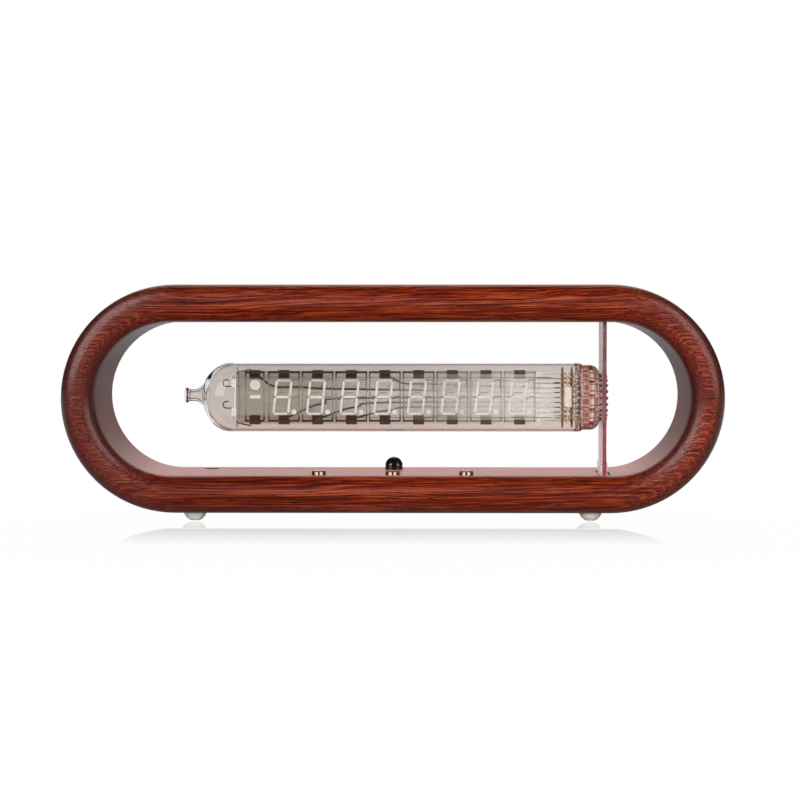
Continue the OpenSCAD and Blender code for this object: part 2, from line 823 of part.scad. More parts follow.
function heading(path, i) = (path[i + 1] - path[i]) / norm(path[i + 1] - path[i]);
function side_of(direction) = [-direction[1], direction[0]];
function mitre(path, i) =
    i == 0 ? side_of(heading(path, 0)) :
    i == len(path) - 1 ? side_of(heading(path, i - 1)) :
    (side_of(heading(path, i - 1)) + side_of(heading(path, i))) / (1 + heading(path, i - 1) * heading(path, i));

module flat_wire(path, width) {
    last = len(path) - 1;
    polygon(concat(
        [for (i = [0:last]) path[i] + mitre(path, i) * width / 2],
        [for (i = [last:-1:0]) path[i] - mitre(path, i) * width / 2]
    ));
}

module grid_wires() {
    width = 0.3;
    ends = plate_right - 1 - slip;
    color("dimgray") in_tube() translate([0, plate_back + slip + width, 0]) rotate([90, 0, 0])
        for (place = [0:digit_count]) linear_extrude(width) {
            x = place == 0 ? symbol_x : digit_x(place);
            start = wire_edges[place] * (plate_half - 1.15);
            finish = wire_leads[place] * back_pitch;
            length = ends - x;
            bends = wire_edges[place] > 0 ? top_bends : bottom_bends;
            flat_wire(concat(
                [[x, start]],
                [for (b = bends) [x + min(b[0], b[1] * length), finish + b[2] * (start - finish)]],
                [[ends, finish]]
            ), width);
        }
}

spring_x = spacer_x - 1.3;
module filaments() {
    color("lightgray") in_tube() for (side = [-1, 1])
        rod([spring_x, filament_w, side * filament_v],
            [first_x - 3.2, filament_w, side * filament_v], filament_thickness);
}

module left_spacer() {
    color("beige", 0.6) in_tube() cross_plate(spacer_x, disc_thickness) difference() {
        circle(disc_radius, $fn = 96);
        translate([plate_front - 0.05, -plate_half - 0.05])
            square([plate_back - plate_front + 0.1, 2 * plate_half + 0.1]);
        for (side = [-1, 1]) translate([filament_w, side * filament_v]) circle(d = 0.8, $fn = 24);
        for (side = [-1, 1]) translate([-0.9, side * 3]) circle(d = 0.36, $fn = 20);
    }
}

module filament_springs() {
    leaf = 0.14;
    leaf_half = 0.6;
    tab_height = 2.2;
    left_face = spacer_x - disc_thickness / 2;
    tab_top = filament_v - 0.5;
    color("silver") in_tube() {
        box([left_face - 0.5, left_face], [filament_w - 0.6, filament_w + 0.6], [-1.4, 1.4]);
        for (side = [0, 1]) mirror([0, 0, side]) {
            rotate([90, 0, 0]) translate([0, 0, -filament_w - leaf_half]) linear_extrude(2 * leaf_half) polygon([
                [left_face - 0.5, 0.3], [left_face - 0.2, 0.3], [left_face - 0.2, 1.2],
                [spring_x, filament_v - 0.6], [spring_x, filament_v + 0.6], [spring_x - leaf, filament_v + 0.6],
                [spring_x - leaf, filament_v - 0.65], [left_face - 0.2 - leaf, 1.4]
            ]);
            // tab folded over the front edge of the leaf
            box([spring_x - leaf, left_face - slip], [filament_w - leaf_half - leaf, filament_w - leaf_half + 0.05],
                [tab_top - tab_height, tab_top]);
        }
    }
}

module tail_hooks() {
    thickness = 0.32;
    curl = 0.9;
    right = spacer_x + disc_thickness / 2 + 0.3;
    left = spacer_x - 3.4;
    color("silver") in_tube() for (side = [-1, 1]) translate([0, -0.9, side * 3]) {
        rod([left, 0, 0], [right, 0, 0], thickness);
        translate([left, 0, curl]) rotate([90, 0, 0]) rotate([0, 0, 90])
            rotate_extrude(angle = 180, $fn = 32) translate([curl, 0]) circle(d = thickness, $fn = 20);
        rod([left, 0, 2 * curl], [left + 0.7, 0, 2 * curl], thickness);
    }
}

module bulb_springs() {
    sheet = 0.14;
    right_face = spacer_x + disc_thickness / 2;
    w = -2.9;
    reach = sqrt(bore_radius * bore_radius - (w - 0.7) * (w - 0.7)) - 0.12;
    color("silver") in_tube() for (side = [0, 1]) mirror([0, 0, side])
        rotate([90, 0, 0]) translate([0, 0, -w - 0.7]) linear_extrude(1.4) polygon([
            [right_face, 6.2], [right_face + sheet, 6.2], [right_face + sheet, 6.9],
            [right_face + 3.4, reach - 0.25], [right_face + 3.9, reach], [right_face + 3.4, reach],
            [right_face, 7]
        ]);
}

wood_frame();
bottom_cover();
cover_screws();
front_left_foot();
front_right_foot();
rear_left_foot();
rear_right_foot();
left_button();
middle_button();
right_button();
left_plunger();
middle_plunger();
right_plunger();
switch_bodies();
switch_plates();
main_board();
board_standoffs();
board_screws();
remote_sensor();
sensor_legs();
buzzer();
socket_shell();
socket_tongue();
controller_chip();
driver_chip();
clock_chip();
crystal();
coin_cell();
cell_holder();
boost_coil();
capacitors();
tube_board();
link_strips();
link_pins();
pin_solder();
glass_envelope();
glass_base();
base_pins();
inner_leads();
anode_plate();
anode_segments();
grid_wires();
grid_0();
grid_1();
grid_2();
grid_3();
grid_4();
grid_5();
grid_6();
grid_7();
grid_8();
filaments();
filament_springs();
left_spacer();
tail_hooks();
bulb_springs();
first_disc();
second_disc();
getter();
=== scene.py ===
"""Looks of the fluorescent desk clock: finishes, blown glass, fine grids, light and camera."""
import math

import bmesh
import bpy
from mathutils import Matrix, Vector


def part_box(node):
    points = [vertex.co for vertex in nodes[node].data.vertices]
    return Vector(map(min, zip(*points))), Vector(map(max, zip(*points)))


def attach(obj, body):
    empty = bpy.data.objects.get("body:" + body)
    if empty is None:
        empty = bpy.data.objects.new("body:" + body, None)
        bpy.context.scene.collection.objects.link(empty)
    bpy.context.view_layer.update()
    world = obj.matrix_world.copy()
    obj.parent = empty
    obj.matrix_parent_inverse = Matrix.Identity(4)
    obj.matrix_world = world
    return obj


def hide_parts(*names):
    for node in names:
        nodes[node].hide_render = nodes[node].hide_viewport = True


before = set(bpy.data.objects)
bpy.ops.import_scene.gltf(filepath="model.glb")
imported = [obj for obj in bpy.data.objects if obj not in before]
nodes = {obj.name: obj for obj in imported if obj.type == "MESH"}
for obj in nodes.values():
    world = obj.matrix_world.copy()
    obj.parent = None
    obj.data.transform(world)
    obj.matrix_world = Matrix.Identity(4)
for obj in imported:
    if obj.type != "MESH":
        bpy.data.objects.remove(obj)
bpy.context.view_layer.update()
MM = 0.001
BODY = "clock_body"
GRID_COUNT = 9
GRID_RISE = 0.2 * MM

# Sizes read from the frame, in metres

glass_low, glass_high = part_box("glass_envelope")
base_low, base_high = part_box("glass_base")
plate_low, plate_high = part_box("anode_plate")
pins_low, pins_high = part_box("base_pins")
FEED_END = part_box("grid_wires")[1].x
AXIS_Y = (base_low.y + base_high.y) / 2
AXIS_Z = (base_low.z + base_high.z) / 2
TUBE_END = base_high.x
WELD = base_low.x
TUBE_R = (glass_high.y - glass_low.y) / 2
BASE_R = (base_high.y - base_low.y) / 2


# Shared helpers for the shading

def paint(red, green, blue):
    """A colour given as 0 to 255 on a screen, as linear light with full alpha."""
    linear = []
    for part in (red, green, blue):
        part = part / 255
        linear.append(part / 12.92 if part <= 0.04045 else ((part + 0.055) / 1.055) ** 2.4)
    return (*linear, 1.0)


class Shading:
    """A node tree, with short calls for the nodes that the finishes and the world share."""

    def __init__(self, tree):
        self.tree = tree

    def add(self, kind, **settings):
        node = self.tree.nodes.new("ShaderNode" + kind)
        for name, value in settings.items():
            setattr(node, name, value)
        return node

    def feed(self, target, source):
        """Links a socket to a node's output, or sets it to a constant."""
        if hasattr(source, "is_output"):
            self.tree.links.new(source, target)
        else:
            target.default_value = source

    def sums(self, operation, first, second=0.0):
        node = self.add("Math", operation=operation)
        self.feed(node.inputs[0], first)
        self.feed(node.inputs[1], second)
        return node.outputs[0]

    def plus(self, total, *parts):
        for part in parts:
            total = self.sums("ADD", total, part)
        return total

    def times(self, product, *parts):
        for part in parts:
            product = self.sums("MULTIPLY", product, part)
        return product

    def away(self, value, middle):
        """How far a value is from the middle one."""
        return self.sums("ABSOLUTE", self.sums("SUBTRACT", value, middle))

    def split(self, source):
        node = self.add("SeparateXYZ")
        self.feed(node.inputs[0], source)
        return node.outputs

    def spread(self, value, low, high, to_low=0.0, to_high=1.0, smooth=False):
        node = self.add("MapRange", interpolation_type="SMOOTHSTEP" if smooth else "LINEAR")
        for socket, part in zip(node.inputs, (value, low, high, to_low, to_high)):
            self.feed(socket, part)
        return node.outputs[0]

    def blended(self, factor, first, second):
        """The first shader where the factor is 0, the second where it is 1."""
        node = self.add("MixShader")
        for socket, source in zip(node.inputs, (factor, first, second)):
            self.feed(socket, source)
        return node.outputs[0]


class Finish(Shading):
    """A material with one Principled shader."""

    def __init__(self, name, **values):
        self.name = name
        self.material = bpy.data.materials.new(name)
        self.material.use_nodes = True
        super().__init__(self.material.node_tree)
        self.shader = self.tree.nodes["Principled BSDF"]
        self.output = self.tree.nodes["Material Output"]
        self.coordinates = self.add("TexCoord").outputs["Object"]
        for socket, value in values.items():
            self.shader.inputs[socket.replace("_", " ")].default_value = value

    def stretch(self, scale, source=None):
        """Coordinates per millimetre, stretched by a scale for each axis."""
        node = self.add("VectorMath", operation="MULTIPLY")
        self.feed(node.inputs[0], source or self.coordinates)
        node.inputs[1].default_value = [part / MM for part in scale]
        return node.outputs[0]

    def millimetres(self, axes):
        """The place on the object in millimetres, a value for each axis."""
        parts = self.split(self.stretch((1, 1, 1)))
        return [parts[axis] for axis in axes]

    def normal(self, axes):
        """Where the surface faces, a value for each axis."""
        parts = self.split(self.add("NewGeometry").outputs["Normal"])
        return [parts[axis] for axis in axes]

    def grazing(self):
        """0 where the surface faces the viewer, 1 where it is seen edge on."""
        node = self.add("LayerWeight")
        node.inputs["Blend"].default_value = 0.5
        return node.outputs["Facing"]

    def join(self, x, y, z):
        node = self.add("CombineXYZ")
        for socket, value in zip(node.inputs, (x, y, z)):
            self.feed(socket, value)
        return node.outputs[0]

    def noise(self, vector, detail=2.0, rough=0.5):
        node = self.add("TexNoise")
        self.feed(node.inputs["Vector"], vector)
        node.inputs["Scale"].default_value = 1.0
        node.inputs["Detail"].default_value = detail
        node.inputs["Roughness"].default_value = rough
        return node.outputs[0]

    def ramp(self, value, *stops):
        """A colour for each place between 0 and 1."""
        node = self.add("ValToRGB")
        marks = node.color_ramp.elements
        while len(marks) < len(stops):
            marks.new(0.5)
        for mark, (place, colour) in zip(marks, stops):
            mark.position = place
            mark.color = colour
        self.feed(node.inputs[0], value)
        return node.outputs[0]

    def mottled(self, noise, dark, light, low=0.35, high=0.65):
        """A dark and a light colour, mixed by a noise."""
        return self.ramp(noise, (low, dark), (high, light))

    def mixed(self, factor, first, second):
        """The first colour where the factor is 0, the second where it is 1."""
        # sockets 6 and 7 take the colours, and output 2 is their mix
        node = self.add("Mix", data_type="RGBA")
        self.feed(node.inputs[0], factor)
        self.feed(node.inputs[6], first)
        self.feed(node.inputs[7], second)
        return node.outputs[2]

    def colour(self, source):
        self.feed(self.shader.inputs["Base Color"], source)

    def roughness(self, source):
        self.feed(self.shader.inputs["Roughness"], source)

    def bump(self, height, depth):
        """Raises the surface by up to a depth in millimetres."""
        node = self.add("Bump")
        node.inputs["Strength"].default_value = 1.0
        node.inputs["Distance"].default_value = depth * MM
        self.feed(node.inputs["Height"], height)
        self.feed(self.shader.inputs["Normal"], node.outputs[0])

    def lets_shadow_rays_through(self, tint=(1.0, 1.0, 1.0, 1.0)):
        """Glass: light reaches what is inside it."""
        clear = self.add("BsdfTransparent")
        clear.inputs[0].default_value = tint
        shadow = self.add("LightPath").outputs["Is Shadow Ray"]
        surface = self.blended(shadow, self.shader.outputs[0], clear.outputs[0])
        self.feed(self.output.inputs["Surface"], surface)


def speckled(name, dark, light, scale, rough=(0.4, 0.55), depth=0.01, **values):
    """A plain finish whose colour, gloss and surface vary with one noise."""
    finish = Finish(name, **values)
    value = finish.noise(finish.stretch(scale), detail=3.0, rough=0.6)
    finish.colour(finish.mottled(value, dark, light))
    finish.roughness(finish.spread(value, 0.35, 0.65, *rough))
    finish.bump(value, depth)
    return finish


# Wood of the loop, places in millimetres

SOUND_HOLE = (-51.5, 10.3)
# the painted shade round the sound hole reaches a little past its lip
HOLE_SHADE_R = 2.5
FLOOR_TOP = 12.6
ROUND_FROM = 58.0
ROUND_TO = 74.0
GRAIN_SLOPE = 0.03
GRAIN_BEND = 7.0
LAYER_SLOPE = 0.34
RING_PITCH = 0.5


def wood_finish():
    wood = Finish("wood")
    x, y, z = wood.millimetres("XYZ")
    # the grain rises a little to the right and bends slowly on its way
    bend = wood.noise(wood.stretch((0.016, 0.03, 0.03)), 1.0)
    tilted = wood.sums("SUBTRACT", z, wood.times(x, GRAIN_SLOPE))
    tilted = wood.plus(tilted, wood.times(bend, GRAIN_BEND))
    grain = wood.join(x, y, tilted)

    def along(scale, detail, rough=0.5):
        """Noise that follows the grain."""
        return wood.noise(wood.stretch([part * MM for part in scale], grain), detail, rough)

    # growth layers stand almost parallel to the front and wander slowly along the grain
    wander = wood.times(along((0.013, 0.04, 0.04), 2.0), 4.0)
    ripple = wood.times(along((0.06, 0.12, 0.12), 2.0), 0.5)
    layer = wood.plus(y, wood.times(tilted, LAYER_SLOPE), wander, ripple)
    # broad streaks follow the layers, fibres run straight along the grain
    bands = wood.join(wood.times(x, 0.009), wood.times(layer, 1.3), wood.times(tilted, 0.34))
    streak = wood.noise(bands, 3.0, 0.6)
    fibre = along((0.014, 1.9, 2.1), 3.0, 0.62)
    hair = along((0.05, 4.8, 5.2), 1.0, 0.5)
    normal_x, normal_y, normal_z = wood.normal("XYZ")
    facing = wood.sums("ABSOLUTE", normal_y)
    sideways = wood.sums("ABSOLUTE", normal_x)
    outward = wood.sums("ABSOLUTE", x)
    # ring lines, thin and bright, open out into arches where a rounded end cuts across them
    ring = wood.sums("SINE", wood.times(layer, 2 * math.pi / RING_PITCH))
    ring = wood.spread(ring, 0.1, 1.0, smooth=True)
    patches = wood.spread(along((0.07, 0.2, 0.12), 2.0), 0.36, 0.56)
    front_cut = wood.spread(facing, 0.82, 0.96, smooth=True)
    cut = wood.sums("MAXIMUM", front_cut, wood.spread(facing, 0.0, 0.3, 0.5, 0.0))
    arched = wood.spread(outward, ROUND_FROM - 2.0, ROUND_TO - 2.0, 0.1, 0.55)
    ring = wood.times(ring, patches, cut, arched)
    # fibres show less where they are cut across
    lines = wood.plus(wood.times(fibre, 1.8), wood.times(hair, 3.1))
    lines = wood.sums("SUBTRACT", lines, 2.42)
    lines = wood.times(lines, wood.spread(outward, ROUND_FROM, ROUND_TO, 1.0, 0.8))
    tone = wood.ramp(
        wood.plus(wood.times(streak, 0.4), lines, 0.25, ring),
        (0.02, paint(50, 5, 1)),
        (0.28, paint(87, 14, 2)),
        (0.50, paint(111, 27, 4)),
        (0.72, paint(132, 40, 11)),
        (0.98, paint(163, 70, 32)),
    )
    # slow drift between redder and browner zones
    zone = along((0.014, 0.06, 0.06), 1.0)
    tone = wood.mixed(wood.spread(zone, 0.4, 0.65, 0.0, 0.35), tone, paint(86, 28, 12))
    # painted shade: darker towards the left end
    tone = wood.mixed(wood.spread(x, -84.0, 5.0, 0.5, 0.0), tone, paint(56, 15, 11))
    # painted sheen: the rounded ends are painted a greyer, duller pink, as a soft gloss shows them
    tone = wood.mixed(wood.spread(outward, ROUND_FROM, ROUND_TO + 4.0, 0.0, 0.22), tone, paint(118, 66, 62))
    # open pores, cut lengthways into short dark dashes
    pore = along((0.26, 4.2, 4.6), 2.0, 0.55)
    pore = wood.plus(pore, wood.spread(outward, ROUND_FROM, ROUND_TO, 0.0, 0.04))
    pore = wood.spread(pore, 0.585, 0.645, smooth=True)
    tone = wood.mixed(wood.times(pore, 0.8), tone, paint(30, 7, 3))
    # painted light: the upward-facing flats inside are painted paler, as if lit from above
    rounded = wood.spread(facing, 0.1, 0.5, smooth=True)
    flat = wood.sums("SUBTRACT", 1.0, rounded)
    level = wood.times(flat, wood.spread(normal_z, 0.4, 0.95))
    tone = wood.mixed(wood.times(level, 0.44), tone, paint(160, 60, 34))
    # end grain takes more of the stain
    tone = wood.mixed(wood.spread(sideways, 0.2, 0.9, 0.0, 0.78), tone, paint(46, 16, 14))
    # painted sheen: inside, the ends are painted a little paler and greyer, in place of part of their gloss
    inward = wood.sums("LESS_THAN", wood.times(normal_x, x), 0.0)
    inner_end = wood.times(flat, wood.spread(sideways, 0.3, 0.9), inward)
    tone = wood.mixed(wood.times(inner_end, 0.55), tone, paint(118, 66, 58))
    # painted shade: the bore of the sound hole and a ring round its lip are painted near black
    from_hole = wood.add("VectorMath", operation="DISTANCE")
    wood.feed(from_hole.inputs[0], wood.join(x, y, 0.0))
    from_hole.inputs[1].default_value = (*SOUND_HOLE, 0.0)
    hole_shade = wood.sums("LESS_THAN", from_hole.outputs["Value"], HOLE_SHADE_R)
    hole_shade = wood.times(hole_shade, wood.sums("LESS_THAN", z, FLOOR_TOP))
    wood.colour(wood.mixed(hole_shade, tone, paint(14, 10, 9)))
    # the flats are a little rougher than the polished rounded edges, and the grain shows in the gloss
    rough = wood.plus(wood.spread(rounded, 0.0, 1.0, 0.33, 0.22), wood.times(inner_end, 0.1))
    wood.roughness(wood.plus(rough, wood.spread(fibre, 0.3, 0.7, -0.03, 0.05)))
    shine = wood.spread(fibre, 0.32, 0.66, 0.26, 0.54)
    shine = wood.times(shine, wood.spread(inner_end, 0.0, 1.0, 1.0, 0.3))
    wood.feed(wood.shader.inputs["Specular IOR Level"], shine)
    wood.bump(wood.sums("SUBTRACT", wood.plus(hair, wood.times(fibre, 0.5)), pore), 0.009)
    return wood


# Glass and clear rubber, places in millimetres

GLASS_IOR = 1.47
DOME_FROM = -42.0
PRESS_MARK = 54.1
PLATE_LEFT = -40.0
PLATE_RIGHT = 40.0
MILKY_FROM = 2.0
MILKY_TO = 38.0


def tube_finish():
    """Clear glass, a little greyer in its rear half and to the left, with faint drawing lines."""
    glass = Finish("tube_glass", Transmission_Weight=1.0, IOR=GLASS_IOR, Roughness=0.0)
    x, y, z = glass.millimetres("XYZ")
    lines = glass.noise(glass.stretch((0.01, 0.5, 0.5)), detail=2.0)
    depth = glass.plus(glass.spread(y, -11.0, 3.0, smooth=True), glass.spread(lines, 0.3, 0.7, -0.06, 0.06))
    rightward = glass.spread(x, -10.0, 40.0, smooth=True)
    rear = glass.mixed(rightward, paint(206, 197, 189), paint(224, 217, 209))
    tone = glass.mixed(depth, paint(248, 247, 246), rear)
    # grazing light crosses more glass and leaves a grey outline round the dome; the brown line along the
    # lower edge is a painted reflection of the wood below
    grazing = glass.grazing()
    round_dome = glass.spread(x, DOME_FROM - 6.0, DOME_FROM, 0.25, 0.0)
    edge = glass.times(glass.spread(grazing, 0.82, 0.97), round_dome)
    tone = glass.mixed(edge, tone, paint(150, 146, 140))
    painted_underside = glass.times(glass.spread(z, 28.0, 34.0, 0.6, 0.0), glass.spread(x, DOME_FROM - 8.0, DOME_FROM))
    edge = glass.times(glass.spread(grazing, 0.68, 0.92), painted_underside)
    glass.colour(glass.mixed(edge, tone, paint(98, 82, 68)))
    glass.lets_shadow_rays_through()
    return glass


def base_finish():
    """Pressed glass, stained to the left of its press mark and clearer to the right."""
    glass = Finish("base_glass", Transmission_Weight=1.0, IOR=GLASS_IOR, Roughness=0.0)
    x, y = glass.millimetres("XY")
    cloud = glass.noise(glass.stretch((1.2, 0.8, 0.8)), detail=2.0)
    right = glass.spread(x, PRESS_MARK - 0.3, PRESS_MARK + 0.3, smooth=True)
    front = glass.mixed(right, paint(214, 172, 160), paint(232, 216, 210))
    stained = glass.mottled(cloud, paint(70, 30, 24), paint(112, 60, 50))
    clear = glass.mottled(cloud, paint(168, 154, 148), paint(212, 204, 198))
    rear = glass.mixed(right, stained, clear)
    tone = glass.mixed(glass.spread(y, -6.0, -2.0), front, rear)
    at_mark = glass.spread(glass.away(x, PRESS_MARK), 0.15, 0.3, 0.6, 0.0)
    tone = glass.mixed(at_mark, tone, paint(160, 88, 78))
    edge = glass.spread(glass.grazing(), 0.3, 0.75, 0.0, 0.9)
    glass.colour(glass.mixed(edge, tone, paint(74, 30, 27)))
    glass.lets_shadow_rays_through()
    return glass


def plate_finish():
    """A mottled glass plate that turns milky towards the right."""
    plate = Finish("plate_glass", Transmission_Weight=1.0, IOR=1.5, Roughness=0.02)
    x = plate.millimetres("X")[0]
    cloud = plate.noise(plate.stretch((1.8, 1.8, 1.8)), detail=3.0, rough=0.6)
    tone = plate.ramp(
        plate.spread(x, PLATE_LEFT, PLATE_RIGHT),
        (0.22, paint(200, 195, 184)),
        (0.45, paint(250, 248, 243)),
        (0.7, paint(226, 223, 217)),
        (0.95, paint(242, 241, 238)),
    )
    plate.colour(plate.mixed(plate.spread(cloud, 0.38, 0.7, 0.0, 0.45), tone, paint(198, 193, 181)))
    clearness = plate.spread(x, MILKY_FROM, MILKY_TO, 1.0, 0.8, smooth=True)
    plate.feed(plate.shader.inputs["Transmission Weight"], clearness)
    plate.lets_shadow_rays_through()
    return plate


def rubber_finish():
    rubber = Finish("clear_rubber", Transmission_Weight=0.08, IOR=1.45)
    cloud = rubber.noise(rubber.stretch((0.6, 0.6, 0.6)), detail=2.0)
    rubber.colour(rubber.mottled(cloud, paint(222, 220, 207), paint(236, 234, 223), 0.3, 0.7))
    rubber.roughness(rubber.spread(cloud, 0.3, 0.7, 0.08, 0.18))
    rubber.lets_shadow_rays_through((0.8, 0.8, 0.78, 1.0))
    return rubber


# Boards, metals and coats, places in millimetres

TRACK_PITCH = 1.27
BOARD_FOOT = 14.0
BOARD_HEAD = 44.0


def laminate(name, mask, track, copper, rough=(0.2, 0.3), sheen_face=None, redder=None):
    """A printed board: solder mask, which may be redder towards the foot, over tracks that show faintly; a
    face that looks left may be painted paler, a painted reflection seen at a grazing angle.
    """
    board = Finish(name, Specular_IOR_Level=0.5)
    y, z = board.millimetres("YZ")
    bend = board.noise(board.stretch((0.12, 0.12, 0.12)), detail=0.0)
    lane = board.plus(y, board.times(bend, 5.0))
    lane = board.sums("SINE", board.times(lane, 2 * math.pi / TRACK_PITCH))
    lane = board.spread(lane, 0.25, 0.45, smooth=True)
    weave = board.noise(board.stretch((2.5, 2.5, 2.5)), detail=2.0)
    tone = board.mottled(weave, mask, track, 0.3, 0.7)
    tone = board.mixed(board.times(lane, 0.5), tone, copper)
    if redder:
        tone = board.mixed(board.spread(z, BOARD_FOOT, BOARD_HEAD, 0.6, 0.0), tone, redder)
    # painted reflection: the face that looks left is painted pale, as its grazing gloss shows it
    if sheen_face:
        leftward = board.spread(board.normal("X")[0], -0.9, -0.5, 1.0, 0.0)
        tone = board.mixed(leftward, tone, board.mixed(board.times(lane, 0.3), sheen_face, copper))
    board.colour(tone)
    board.roughness(board.spread(weave, 0.3, 0.7, *rough))
    board.bump(board.plus(lane, board.times(weave, 0.3)), 0.004)
    return board


DASH_START = 44.2
DASH_MIDDLE = 32.5
DASH_HALF = 5.2
COPPER_START = 45.9
# the seal wires are painted near black from here, painted shade between the base and the board
PIN_SHADE_START = 56.5


def lead_finish():
    """Bright leads with painted shade: darker on their undersides and black in a dash before the first disc
    on faces turned from the top; coppery behind the disc.
    """
    lead = Finish("lead_wire", Metallic=0.1)
    x, z = lead.millimetres("XZ")
    upward = lead.normal("Z")[0]
    noise = lead.noise(lead.stretch((0.8, 3, 3)), detail=2.0)
    bright = lead.mottled(noise, paint(212, 208, 202), paint(246, 244, 240), 0.3, 0.7)
    # painted shade: undersides darker, and a black dash where the faces turn from the top
    painted_underside = lead.spread(upward, -0.6, 0.0, 0.6, 0.0)
    tone = lead.mixed(painted_underside, bright, paint(122, 114, 106))
    dash_shade = lead.times(lead.spread(upward, 0.0, 0.4, 1.0, 0.0), lead.spread(x, DASH_START, DASH_START + 0.4))
    dash_shade = lead.times(dash_shade, lead.sums("LESS_THAN", lead.away(z, DASH_MIDDLE), DASH_HALF))
    tone = lead.mixed(dash_shade, tone, paint(20, 16, 15))
    coppery = lead.mottled(noise, paint(196, 158, 138), paint(255, 240, 230))
    lead.colour(lead.mixed(lead.spread(x, COPPER_START, COPPER_START + 0.2), tone, coppery))
    lead.roughness(lead.spread(noise, 0.3, 0.7, 0.3, 0.45))
    return lead


def seal_finish():
    """Copper-clad wires: pale where they enter the base, orange past its press mark, and painted near black
    outside it, as painted shade between the base and the board.
    """
    seal = Finish("seal_wire", Metallic=0.1)
    x = seal.millimetres("X")[0]
    noise = seal.noise(seal.stretch((0.8, 2, 2)), detail=2.0)
    pale = seal.mottled(noise, paint(214, 172, 156), paint(250, 226, 212))
    orange = seal.mottled(noise, paint(120, 52, 28), paint(190, 104, 62))
    tone = seal.mixed(seal.spread(x, PRESS_MARK - 0.4, PRESS_MARK), pale, orange)
    seal.colour(seal.mixed(seal.spread(x, PIN_SHADE_START, PIN_SHADE_START + 0.3), tone, paint(26, 14, 12)))
    seal.roughness(seal.spread(noise, 0.3, 0.7, 0.3, 0.5))
    return seal


GETTER_MIDDLE = (47.9, 33.6)
GETTER_HALF = (0.8, 2.5)


def getter_finish():
    """A whitened box with gilt edges on gilt rods."""
    getter = Finish("getter_wash", Metallic=0.0)
    x, z = getter.millimetres("XZ")
    noise = getter.noise(getter.stretch((2, 2, 1)), detail=2.0)
    gilt = getter.mottled(noise, paint(206, 164, 120), paint(252, 228, 190))
    white = getter.mottled(noise, paint(238, 233, 224), paint(255, 252, 245), 0.3, 0.7)
    middle_x, middle_z = GETTER_MIDDLE
    half_x, half_z = GETTER_HALF
    across = getter.spread(getter.away(x, middle_x), half_x, half_x + 0.15, 1.0, 0.0)
    upright = getter.spread(getter.away(z, middle_z), half_z, half_z + 0.2, 1.0, 0.0)
    getter.colour(getter.mixed(getter.times(across, upright), gilt, white))
    getter.roughness(getter.spread(noise, 0.3, 0.7, 0.3, 0.5))
    return getter


GRID_MIDDLE = (AXIS_Z + GRID_RISE) / MM
# colour and reach of the painted reflection that veils the right of the tube
VEIL_COLOUR = paint(176, 165, 155)
VEIL_FROM = -6.0
VEIL_TO = 36.0
GREY_FROM = -2.0
GREY_TO = 34.0
FEED_VEIL_FROM = -12.0
FEED_VEIL_TO = 20.0


def painted_veil(finish, tone, most):
    """Painted reflection: paler towards the right, where a light's white veil lies on the glass."""
    x = finish.millimetres("X")[0]
    return finish.mixed(finish.spread(x, VEIL_FROM, VEIL_TO, 0.0, most, smooth=True), tone, VEIL_COLOUR)


def grid_finish():
    """Etched sheet, blackened at both ends and paler between them, and paled towards the right by a painted
    reflection.
    """
    grid = Finish("grid_metal", Specular_IOR_Level=0.2)
    z = grid.millimetres("Z")[0]
    noise = grid.noise(grid.stretch((2, 2, 2)), detail=3.0, rough=0.6)
    dark = grid.mottled(noise, paint(18, 11, 9), paint(42, 30, 26))
    pale = grid.mottled(noise, paint(104, 95, 88), paint(164, 154, 145))
    ends = grid.spread(grid.away(z, GRID_MIDDLE), 4.0, 6.2, smooth=True)
    grid.colour(painted_veil(grid, grid.mixed(ends, pale, dark), 0.75))
    grid.roughness(grid.spread(noise, 0.35, 0.65, 0.5, 0.7))
    return grid


def pad_finish():
    """Blackened sheet etched with a honeycomb that is painted: near-black cells stand for the shade in its
    holes, paler bars for the light they catch, and a painted reflection pales it towards the right.
    """
    pad = Finish("pad_metal", Specular_IOR_Level=0.1)
    x, z = pad.millimetres("XZ")
    cells = pad.add("TexVoronoi", feature="DISTANCE_TO_EDGE", voronoi_dimensions="2D")
    pad.feed(cells.inputs["Vector"], pad.join(x, z, 0.0))
    cells.inputs["Scale"].default_value = 1.7
    cells.inputs["Randomness"].default_value = 0.25
    bars = pad.spread(cells.outputs["Distance"], 0.06, 0.2, 1.0, 0.0)
    pad.colour(painted_veil(pad, pad.ramp(bars, (0.0, paint(2, 1, 1)), (1.0, paint(70, 57, 51))), 0.92))
    pad.roughness(pad.spread(bars, 0.0, 1.0, 0.8, 0.5))
    pad.bump(bars, 0.02)
    return pad


def clip_finish():
    """Blackened sheet, bent round the plate; the lower clips are painted greyer to take out the red light
    the wood throws up on them, and a painted reflection pales them slightly towards the right.
    """
    clip = Finish("clip_metal", Specular_IOR_Level=0.3)
    noise = clip.noise(clip.stretch((2, 2, 2)), detail=3.0, rough=0.6)
    warm = clip.mottled(noise, paint(46, 31, 26), paint(78, 57, 51))
    grey = clip.mottled(noise, paint(30, 30, 27), paint(56, 55, 51))
    upper = clip.sums("GREATER_THAN", clip.millimetres("Z")[0], GRID_MIDDLE)
    clip.colour(painted_veil(clip, clip.mixed(upper, grey, warm), 0.05))
    clip.roughness(clip.spread(noise, 0.35, 0.65, 0.4, 0.6))
    return clip


